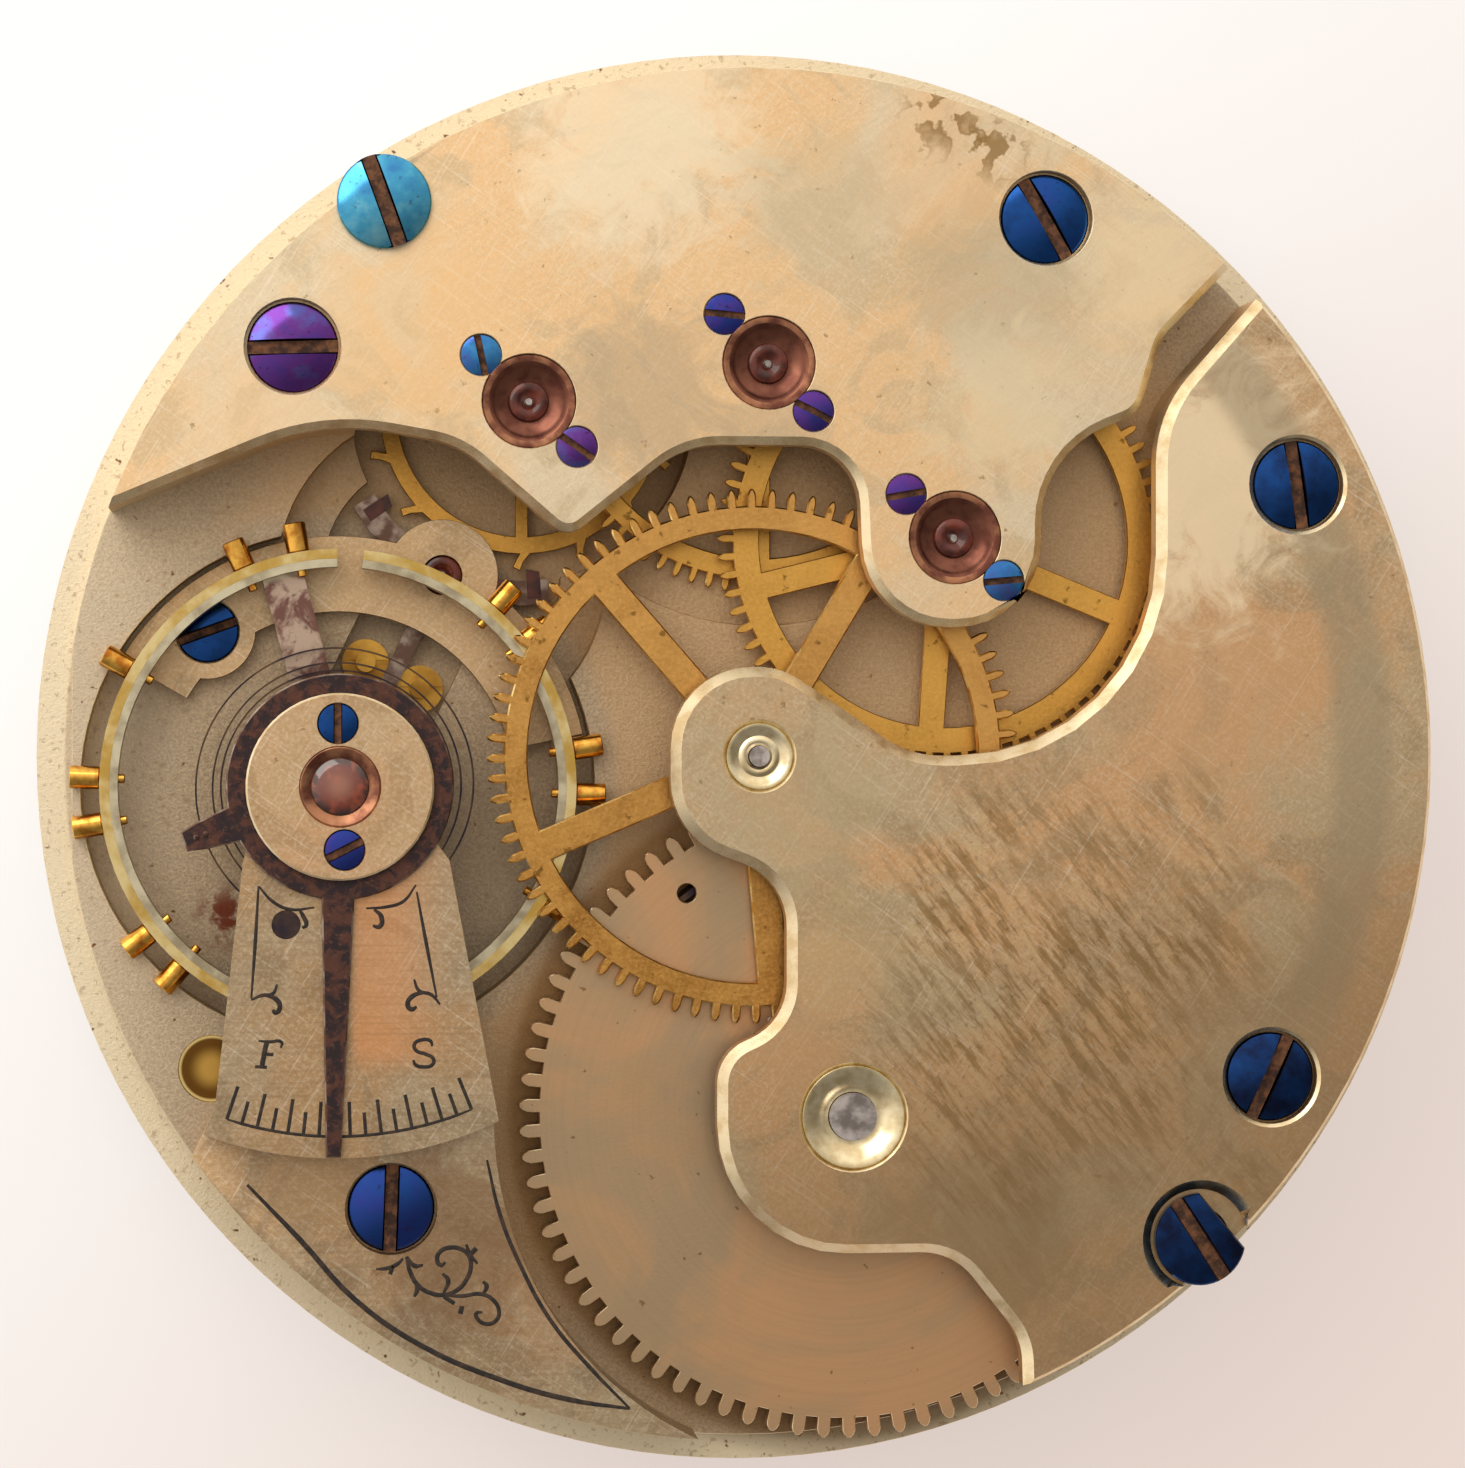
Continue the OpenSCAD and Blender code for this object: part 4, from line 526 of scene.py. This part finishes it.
# Screws: turned steel with sawn slots, polished on the head and heated to blue and violet.
# The slots have gone to brown rust, and each screw took its own colour in the heat.
blued = Finish("blued steel", Metallic=1.0, Coat_Roughness=0.08)
heat = blued.node("Attribute", {"attribute_name": "blueing"}, 2)
wander = blued.noise(1.1, 3, 0.6)
hue = heat + (wander - 0.5) * 0.4
blue_tint = blued.node("ValToRGB", {"stops": [
    (0.0, tint("1c2440")), (1.0, tint("86cade")), (0.2, tint("1f4a8c")), (0.42, tint("343e92")),
    (0.6, tint("663888")), (0.75, tint("3a72b6")), (0.88, tint("4aa0c8"))]}, n0=hue)
soot = blued.noise(5, 4, 0.6).step(0.6, 0.72)
blued.set("Base_Color", (soot * 0.55).blend(blue_tint, tint("2a1f22")))
blued.set("Roughness", 0.11 + soot * 0.25 + wander * 0.06)
rusted = Finish("rusted slot", Metallic=0.3, Roughness=0.75)
rusted.set("Base_Color", rusted.noise(3.5, 4, 0.6).step(0.35, 0.7).blend(tint("3a241a"), tint("7d5234")))
rusted.bump(rusted.noise(9, 3), 0.02)
# each head's top is cut this many times to each side of its middle, at this many cuts to its radius
DOME_CUTS, CUTS_PER_RADIUS = 6, 6.6


def dressed_screws(node, name, body, heads, radius, drop=0.24, edge=0.05):
    """Heads are given as x, y, slot angle and heat. Each top is domed a little, its edge broken."""
    shape = merged_copy(node)
    top = max(v.co.z for v in shape.verts)
    rims = outer_corners(shape, lambda e: faces_up(e) and middle(e).z > top - 1e-5)
    chamfer(shape, rims, edge, 0)
    for x, y, turn, _ in heads:
        side = Vector((cos(radians(turn)), sin(radians(turn)), 0))
        for normal in (side, side.cross(Vector((0, 0, 1)))):
            for i in range(-DOME_CUTS, DOME_CUTS + 1):
                faces = [f for f in shape.faces if f.normal.z > 0.9
                         and f.calc_center_median().z > top - 1e-5
                         and (f.calc_center_median().xy - Vector((x * MM, y * MM))).length < radius * MM]
                parts = dict.fromkeys(faces)
                for face in faces:
                    parts.update(dict.fromkeys((*face.edges, *face.verts)))
                cut_at = Vector((x, y, 0)) * MM + normal * radius * MM * i / CUTS_PER_RADIUS
                bmesh.ops.bisect_plane(shape, geom=list(parts), dist=1e-8, plane_no=normal,
                                       plane_co=cut_at)
    shape.normal_update()
    for face in shape.faces:
        c = face.calc_center_median()
        x, y = min(heads, key=lambda h: (c.x / MM - h[0]) ** 2 + (c.y / MM - h[1]) ** 2)[:2]
        off = abs((c - Vector((x, y, 0)) * MM).to_2d().dot(face.normal.to_2d())) / MM
        wall = abs(face.normal.z) < 0.3 and off < radius * 0.4 and c.z > top - 0.4 * MM
        base = face.normal.z > 0.7 and top - 0.5 * MM < c.z < top - 0.07 * MM
        if wall or base:
            face.material_index = 1
    blueing = shape.verts.layers.float.new("blueing")
    for vert in shape.verts:
        x, y, _, heated = min(heads, key=lambda h: (vert.co.x / MM - h[0]) ** 2
                              + (vert.co.y / MM - h[1]) ** 2)
        out = ((vert.co.x / MM - x) ** 2 + (vert.co.y / MM - y) ** 2) / radius ** 2
        vert[blueing] = heated
        if vert.co.z > top - 1e-5 - edge * MM:
            vert.co.z -= drop * MM * min(out, 1)
    return set_piece(shape, name, [blued, rusted], body, "blued_steel", node)


# the slots lie, and the heads are coloured, as the photograph shows them
plate_heads = [(*place, turn, heated) for place, turn, heated in zip(
    PLATE_SCREWS, (120, 2, 98, 65), (0.2, 0.6, 0.12, 0.06))]
dressed_screws("plate_screws", "plate screws", "frame", plate_heads, 1.35)
dressed_screws("cock_screw", "cock screw", "frame", [(-10.974, -13.503, 88, 0.3)], 1.3)
dressed_screws("pallet_bridge_screw", "pallet bridge screw", "frame",
               [(-16.486, 3.794, 20, 0.15)], 0.95, 0.08)
jewel_heads = [(*place, turn, heated) for place, turn, heated in zip(
    JEWEL_SCREWS, (102, 145, 175, 153, 10, 5), (0.78, 0.62, 0.42, 0.5, 0.55, 0.76))]
dressed_screws("jewel_screws", "jewel screws", "frame", jewel_heads, 0.6, 0.08, 0.03)
CAP_SCREW_R = 1.87
cap_heads = [(*polar(BALANCE, CAP_SCREW_R, 92), 90, 0.2), (*polar(BALANCE, CAP_SCREW_R, 274), 27, 0.42)]
dressed_screws("cap_screws", "cap screws", "frame", cap_heads, 0.6, 0.08, 0.03)
dressed_screws("case_screw_upper", "upper case screw", "case_screw_upper_body",
               [(-11.214, 16.439, 110, 0.87)], 1.4)
dressed_screws("case_screw_lower", "lower case screw", "case_screw_lower_body",
               [(13.47, -14.648, 123, 0.06)], 1.4, 0.12)

# Jewel settings: copper-coloured cups pushed into the bridge, each with a pierced garnet whose oil
# sink shows the pivot's polished end.
copper = Finish("copper setting", Metallic=0.9)
reddish = copper.noise(1.5, 4)
copper.set("Base_Color", reddish.step(0.35, 0.65).blend(tint("6f4236"), tint("b07c5c")))
copper.set("Roughness", 0.28 + reddish * 0.15)
garnet = Finish("garnet", Coat_Weight=0.08, Coat_Roughness=0.04, IOR=1.42)
depth = garnet.noise(2.2, 3)
garnet.set("Base_Color", depth.step(0.3, 0.7).blend(tint("3a1610"), tint("6e3022")))
garnet.set("Roughness", 0.12 + depth * 0.1)


def turned(shape, profile, place, closed=True, steps=72, slot=0):
    """Turns a profile of radius and height round the upright axis through place."""
    verts = [shape.verts.new((r * MM, 0, z * MM)) for r, z in profile]
    pairs = list(zip(verts, verts[1:])) + ([(verts[-1], verts[0])] if closed else [])
    edges = [shape.edges.new(pair) for pair in pairs]
    made = bmesh.ops.spin(shape, geom=verts + edges, cent=(0, 0, 0), axis=(0, 0, 1), angle=2 * pi,
                          steps=steps, use_merge=True, use_duplicate=False)
    fresh = [v for v in shape.verts if not v.tag]
    bmesh.ops.remove_doubles(shape, verts=fresh, dist=0.2e-6)
    fresh = [v for v in shape.verts if not v.tag]
    bmesh.ops.translate(shape, vec=(place[0] * MM, place[1] * MM, 0), verts=fresh)
    for vert in shape.verts:
        vert.tag = True
    for face in shape.faces:
        if not face.tag:
            face.material_index = slot
            face.tag = True
    bmesh.ops.recalc_face_normals(shape, faces=shape.faces)


# painted shade: the settings' bowls are coloured dark for the shade in their hollows
bowl = Finish("setting bowl with painted shade", Metallic=0.9)
bowl_depth = bowl.noise(1.3, 4)
bowl.set("Base_Color", bowl_depth.step(0.35, 0.65).blend(tint("5c352b"), tint("7e5040")))
bowl.set("Roughness", 0.2 + bowl_depth * 0.15)
PALLET_JEWEL, TRAIN_SEAT, PALLET_SEAT, BOWL_R = (-9.372, 5.529), 5.24, 2.12, 1.17
settings = bmesh.new()
for place in TRAIN_JEWELS:
    turned(settings, [(0.61, TRAIN_SEAT), (1.4, TRAIN_SEAT), (1.4, 5.66), (1.37, 5.69), (1.2, 5.69),
                      (1.14, 5.66), (1.06, 5.56), (0.94, 5.47), (0.8, 5.42), (0.7, 5.38), (0.61, 5.37)],
           place)
for face in settings.faces:
    at = face.calc_center_median()
    out = min((at.xy / MM - Vector(place)).length for place in TRAIN_JEWELS)
    if out < BOWL_R and face.normal.z > 0.2:
        face.material_index = 1
set_piece(settings, "train jewel settings", [copper, bowl], "frame", "garnet_jewel", "train_jewel_settings")
jewels = bmesh.new()
for (x, y), base in [(place, TRAIN_SEAT) for place in TRAIN_JEWELS] + [(PALLET_JEWEL, PALLET_SEAT)]:
    turned(jewels, [(0.13, base), (0.6, base), (0.6, base + 0.2), (0.57, base + 0.25), (0.48, base + 0.29),
                    (0.38, base + 0.3), (0.32, base + 0.28), (0.22, base + 0.17), (0.13, base + 0.14)],
           (x, y))
set_piece(jewels, "train jewels", [garnet], "frame", "garnet_jewel", "train_jewels")

# Centre and barrel bushings: turned rings pressed into the barrel bridge, cupped to hold oil.
bush = Finish("turned bush", Metallic=1.0)
turning = bush.noise(2.0, 3)
bush.set("Base_Color", turning.step(0.3, 0.7).blend(tint("cdb98e"), tint("efe2bd")))
bush.set("Roughness", 0.14 + turning * 0.16)
rings = bmesh.new()
turned(rings, [(0.33, 4.8), (1.0, 4.8), (1.0, 5.7), (0.97, 5.73), (0.9, 5.73), (0.84, 5.7), (0.74, 5.6),
               (0.62, 5.57), (0.56, 5.6), (0.5, 5.62), (0.42, 5.61), (0.33, 5.56)], CENTER)
set_piece(rings, "center bushing", [bush], "frame", "brass", "center_bushing")
rings = bmesh.new()
turned(rings, [(0.74, 4.8), (1.55, 4.8), (1.55, 5.7), (1.52, 5.73), (1.42, 5.72), (1.3, 5.66), (1.0, 5.52),
               (0.92, 5.47), (0.82, 5.45), (0.74, 5.45)], BARREL)
set_piece(rings, "barrel bushing", [bush], "frame", "brass", "barrel_bushing")

# Balance cap: a nickel disc, screwed over the regulator's ring, with a domed end stone in its
# copper setting. The stone bears the staff's upper pivot.
cap_face, cap_base = aged_nickel("balance cap top", "d2a87e", "ccae86", "b09068")
cap_face.set("Base_Color", cap_base)
cap = merged_copy("balance_cap")
CAP_TOP, CAP_SCREWS_REACH = 6.25, 2.5
cap_centre = Vector((*BALANCE, CAP_TOP))
chamfer(cap, outer_corners(cap, lambda e: faces_up(e)
                           and (middle(e) / MM - cap_centre).length > CAP_SCREWS_REACH), 0.06, 1)
set_piece(cap, "balance cap", [cap_face, bright_edge], "frame", "nickel_plate", "balance_cap")
end_stone = Finish("end stone", Coat_Weight=0.6, Coat_Roughness=0.02, IOR=1.7)
stone_r = end_stone.away(*BALANCE)
# painted light: the stone is lighter at its middle, a painted reflection, and darkens to painted shade at
# its rim
stone_painted_light = stone_r.step(0.05, 0.6).blend(tint("8f5a44"), tint("6e2814"))
stone_painted_light = stone_r.step(0.55, 0.8).blend(stone_painted_light, tint("30100a"))
end_stone.set("Base_Color", (end_stone.noise(2.5, 3).step(0.45, 0.7) * 0.6).blend(stone_painted_light, tint("a8502c")))
end_stone.set("Roughness", 0.06 + end_stone.noise(4) * 0.1)
stone = bmesh.new()
turned(stone, [(0.86, 5.77), (1.2, 5.77), (1.2, 6.2), (1.15, 6.22), (1.04, 6.18), (0.86, 6.06)],
       BALANCE, slot=1)
turned(stone, [(0, 5.77), (0.85, 5.77), (0.85, 6.06), (0.78, 6.11), (0.6, 6.17), (0.38, 6.2), (0.18, 6.215),
               (0, 6.22)], BALANCE, closed=False)
set_piece(stone, "balance cap jewel", [end_stone, copper], "frame", "cap_jewel", "balance_cap_jewel")

# Regulator: a thin steel ring round the cap with a long pointer and a short tail, rusted brown.
rusty = Finish("rusted regulator steel", Metallic=0.7)
crust = rusty.noise(2.0, 5, 0.65, warp=0.6)
pits = rusty.noise(5, 3, 0.6)
rust_tint = crust.step(0.42, 0.6).blend(tint("33292c"), tint("5c3c32"))
rusty.set("Base_Color", (pits.step(0.55, 0.7) * 0.45).blend(rust_tint, tint("7c5644")))
rusty.set("Roughness", 0.4 + crust * 0.3)
rusty.bump(pits, 0.012)
worn = Finish("worn steel edge", Metallic=1.0)
worn.set("Base_Color", worn.noise(1.6, 4).step(0.4, 0.65).blend(tint("6b5348"), tint("a8978a")))
worn.set("Roughness", 0.3 + worn.noise(3) * 0.2)
hand = merged_copy("regulator")
chamfer(hand, outer_corners(hand, faces_up), 0.045, 1)
set_piece(hand, "regulator", [rusty, worn], "regulator_body", "dark_steel", "regulator")

# Balance: brass melted on a steel rim, cut through at two places so that it bends with heat,
# on two flat steel arms. Gold screws in the rim bring it to time.
arm_steel = Finish("stained arm steel", Metallic=1.0)
stain = arm_steel.noise(0.9, 5, 0.6, warp=0.8)
arm_tint = stain.step(0.42, 0.56).blend(tint("bfa896"), tint("7a5850"))
arm_tint = (arm_steel.noise(4, 3).step(0.6, 0.72) * 0.6).blend(arm_tint, tint("4a3230"))
ring_tint = arm_steel.noise(1.2, 4).step(0.35, 0.68).blend(tint("d3cbae"), tint("a3967c"))
arm_steel.set("Base_Color", arm_steel.away(*BALANCE).step(6.4, 6.62).blend(arm_tint, ring_tint))
arm_steel.set("Roughness", 0.26 + stain * 0.25)
steel_edge = Finish("polished steel edge", Metallic=1.0)
steel_edge.set("Base_Color", steel_edge.noise(2, 3).step(0.35, 0.6).blend(tint("a09488"), tint("dcd4c8")))
steel_edge.set("Roughness", 0.15 + steel_edge.noise(3) * 0.15)
rim_brass = Finish("balance rim brass", Metallic=1.0)
brass_age = rim_brass.noise(0.8, 4)
rim_brass.set("Base_Color", brass_age.step(0.35, 0.62).blend(tint("c8a452"), tint("e8d49a")))
rim_brass.set("Roughness", 0.16 + brass_age * 0.18)
screw_gold = Finish("timing screw gold", Metallic=1.0)
gold_age = screw_gold.noise(2.2, 4)
screw_gold.set("Base_Color", gold_age.step(0.4, 0.7).blend(tint("e6b352"), tint("b06c26")))
screw_gold.set("Roughness", 0.12 + gold_age * 0.15)
arms = merged_copy("balance_arms")
chamfer(arms, outer_corners(arms, faces_up), 0.04, 1)
set_piece(arms, "balance arms", [arm_steel, steel_edge], "balance_body", "polished_steel", "balance_arms")
rim = merged_copy("balance_rim")
chamfer(rim, outer_corners(rim, faces_up), 0.05, 0)
set_piece(rim, "balance rim", [rim_brass], "balance_body", "brass", "balance_rim")
weights = merged_copy("timing_screws")
chamfer(weights, outer_corners(weights, lambda e: True), 0.03, 0)
set_piece(weights, "timing screws", [screw_gold], "balance_body", "gilt_brass", "timing_screws")

# Wheels: stamped brass, crossed out to five arms and gilt. The gilding is matt, with a fine
# grain, and has browned most where the old oil crept.
def gilding(name, bright, deep, light):
    gilt = Finish(name, Metallic=0.95)
    matt = gilt.noise(8.5, 4, 0.75)
    oiled = gilt.noise(0.4, 4, 0.6, warp=0.5)
    # painted light: the gilding is made lighter towards one side of the movement
    across = gilt.node("SeparateXYZ", output=1, n0=gilt.moved(turn=-40)).step(-9, 6)
    base = oiled.step(0.35, 0.65).blend(tint(bright), tint(deep))
    base = (across * 0.5).blend(base, tint(light))
    base = (matt.step(0.35, 0.75) * 0.55).blend(base, tint(light))
    gilt.set("Base_Color", (gilt.noise(2.4, 3).step(0.64, 0.72) * 0.7).blend(base, tint("6c4a18")))
    gilt.set("Roughness", 0.24 + matt * 0.22)
    gilt.bump(matt, 0.01)
    return gilt


rose_gilt = gilding("centre wheel gilding", "c4924a", "9a6a2c", "eab468")
deep_gilt = gilding("train wheel gilding", "cf9440", "a46c24", "f0be62")
# polished wheel edges; their pale gold colour is a painted glint
gilt_edge = Finish("gilt edge with painted glint", Metallic=1.0)
edge_gold = gilt_edge.noise(1.8, 3)
gilt_edge.set("Base_Color", edge_gold.step(0.35, 0.65).blend(tint("fbe09a"), tint("c9923e")))
gilt_edge.set("Roughness", 0.16 + edge_gold * 0.15)
for node, body, gilt, width in (("center_wheel", "center_body", rose_gilt, 0.045),
                                ("third_wheel", "third_body", deep_gilt, 0.035),
                                ("fourth_wheel", "fourth_body", deep_gilt, 0.035),
                                ("escape_wheel", "escape_body", deep_gilt, 0.025)):
    wheel = merged_copy(node)
    chamfer(wheel, outer_corners(wheel, faces_up), width, 1)
    set_piece(wheel, node.replace("_", " "), [gilt, gilt_edge], body, "gilt_brass", node)

# Going barrel: a nickel drum with teeth at its top edge, turned on its face, with a sight hole.
face = Finish("turned barrel face", Metallic=0.95)
rings_at = face.node("CombineXYZ", n0=face.away(*BARREL))
lathe = face.noise(5.5, 3, 0.6, at=rings_at)
bloom = face.noise(0.14, 4, 0.6, warp=1.0)
face_tint = bloom.step(0.38, 0.62).blend(tint("b89f7e"), tint("cfa47a"))
face_tint = (lathe.step(0.4, 0.7) * 0.12).blend(face_tint, tint("8f7a5c"))
face_tint = clouded(face, face_tint, [(-2.8, -10.6, 2.2, "c49c72", 0.4), (-0.6, -10.2, 1.8, "9a917e", 0.4)])
face.set("Base_Color", (face.noise(2.8, 2).step(0.7, 0.75) * 0.7).blend(face_tint, tint("7d5d38")))
face.set("Roughness", 0.34 + bloom * 0.2)
face.bump(face.noise(8, 3, 0.7), 0.004)
drum = merged_copy("barrel")
chamfer(drum, outer_corners(drum, faces_up), 0.04, 1)
set_piece(drum, "barrel", [face, bright_edge], "barrel_body", "barrel_nickel", "barrel")

# Hairspring: one long blade coiled flat from the stud to the collet. Its coils are set close, and
# the steel has gone brown and blue.
spring_blue = Finish("hairspring steel", Metallic=1.0)
spring_age = spring_blue.noise(0.7, 3)
spring_blue.set("Base_Color", spring_age.step(0.35, 0.65).blend(tint("65503f"), tint("34303c")))
spring_blue.set("Roughness", 0.26 + spring_blue.noise(4) * 0.15)
SPRING_OUT, SPRING_IN, SPRING_START, COIL_PITCH, BLADE = 4.375, 0.66, 243.0, 0.24, 0.05
# the outer turn stands off, so that the curb pins pass between it and the next
OUTER_PITCH, OUTER_SWEEP = 0.5, 430
SPRING_LOW, SPRING_HIGH, COIL_STEPS = 3.5, 3.75, 96
spring = bmesh.new()
inner_from = SPRING_OUT - OUTER_PITCH * OUTER_SWEEP / 360
sweep = OUTER_SWEEP + 360 * (inner_from - SPRING_IN) / COIL_PITCH
last = None
for i in range(int(sweep * COIL_STEPS / 360) + 1):
    turned_by = 360 * i / COIL_STEPS
    angle = SPRING_START - turned_by
    outer_part = min(turned_by, OUTER_SWEEP)
    middle_r = SPRING_OUT - (OUTER_PITCH * outer_part + COIL_PITCH * (turned_by - outer_part)) / 360
    section = []
    for side, level in ((0.5, SPRING_LOW), (0.5, SPRING_HIGH), (-0.5, SPRING_HIGH), (-0.5, SPRING_LOW)):
        x, y = polar(BALANCE, middle_r + side * BLADE, angle)
        section.append(spring.verts.new((x * MM, y * MM, level * MM)))
    if last:
        for j in range(4):
            spring.faces.new((last[j], last[(j + 1) % 4], section[(j + 1) % 4], section[j]))
    else:
        spring.faces.new(section)
    last = section
spring.faces.new(last[::-1])
bmesh.ops.recalc_face_normals(spring, faces=spring.faces)
set_piece(spring, "hairspring", [spring_blue], "frame", "blued_steel", "hairspring")

# Steel and brass parts that mostly hide under the bridges keep their shapes from the frame, and
# take their finishes: polished pinions and arbors, dark springs, brass dial wheels, garnets.
steel = Finish("polished pinion steel", Metallic=1.0)
steel_age = steel.noise(1.6, 4)
steel.set("Base_Color", steel_age.step(0.35, 0.65).blend(tint("8f8682"), tint("d8d0cc")))
steel.set("Roughness", 0.14 + steel_age * 0.18)
brass = Finish("plain brass", Metallic=1.0)
brass_tone = brass.noise(0.9, 4)
brass.set("Base_Color", brass_tone.step(0.35, 0.65).blend(tint("d6a64c"), tint("a87a34")))
brass.set("Roughness", 0.24 + brass_tone * 0.2)
dial_foot_painted_cup = Finish("dial foot brass", Metallic=1.0)
# painted shade and highlight: the flat bush is coloured darker outwards from its middle, like a hollow's
# shade, with a pale ring further out for its lip's highlight
cup_r = dial_foot_painted_cup.away(*polar(CENTER, 18.85, 210))
painted_cup_shading = cup_r.step(0.2, 0.75).blend(tint("c9a050"), tint("6e4c20"))
painted_cup_shading = cup_r.step(0.88, 0.96).blend(painted_cup_shading, tint("e6cc86"))
dial_foot_painted_cup.set("Base_Color", painted_cup_shading)
dial_foot_painted_cup.set("Roughness", 0.2 + dial_foot_painted_cup.noise(2, 3) * 0.2)
finishes = {
    steel: ["center_pinion", "third_pinion", "fourth_pinion", "escape_pinion", "barrel_arbor",
            "pallet_arbor", "balance_staff", "roller_table", "collet", "cannon_pinion", "winding_pinion",
            "clutch", "crown_wheel", "ratchet_wheel", "winding_idler", "wheel_posts"],
    worn: ["pallet_fork", "setting_lever", "click"],
    spring_blue: ["hairspring_stud", "mainspring", "click_spring"],
    dial_foot_painted_cup: ["dial_foot_bush"],
    brass: ["banking_screws", "minute_wheel", "hour_wheel"],
    garnet: ["lower_jewels", "balance_hole_jewel", "lower_cap_jewel", "pallet_stones", "roller_jewel"],
    face: ["barrel_cover"],
}
for finish, nodes in finishes.items():
    for node in nodes:
        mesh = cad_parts[node].data
        mesh.materials.clear()
        mesh.materials.append(finish.material)
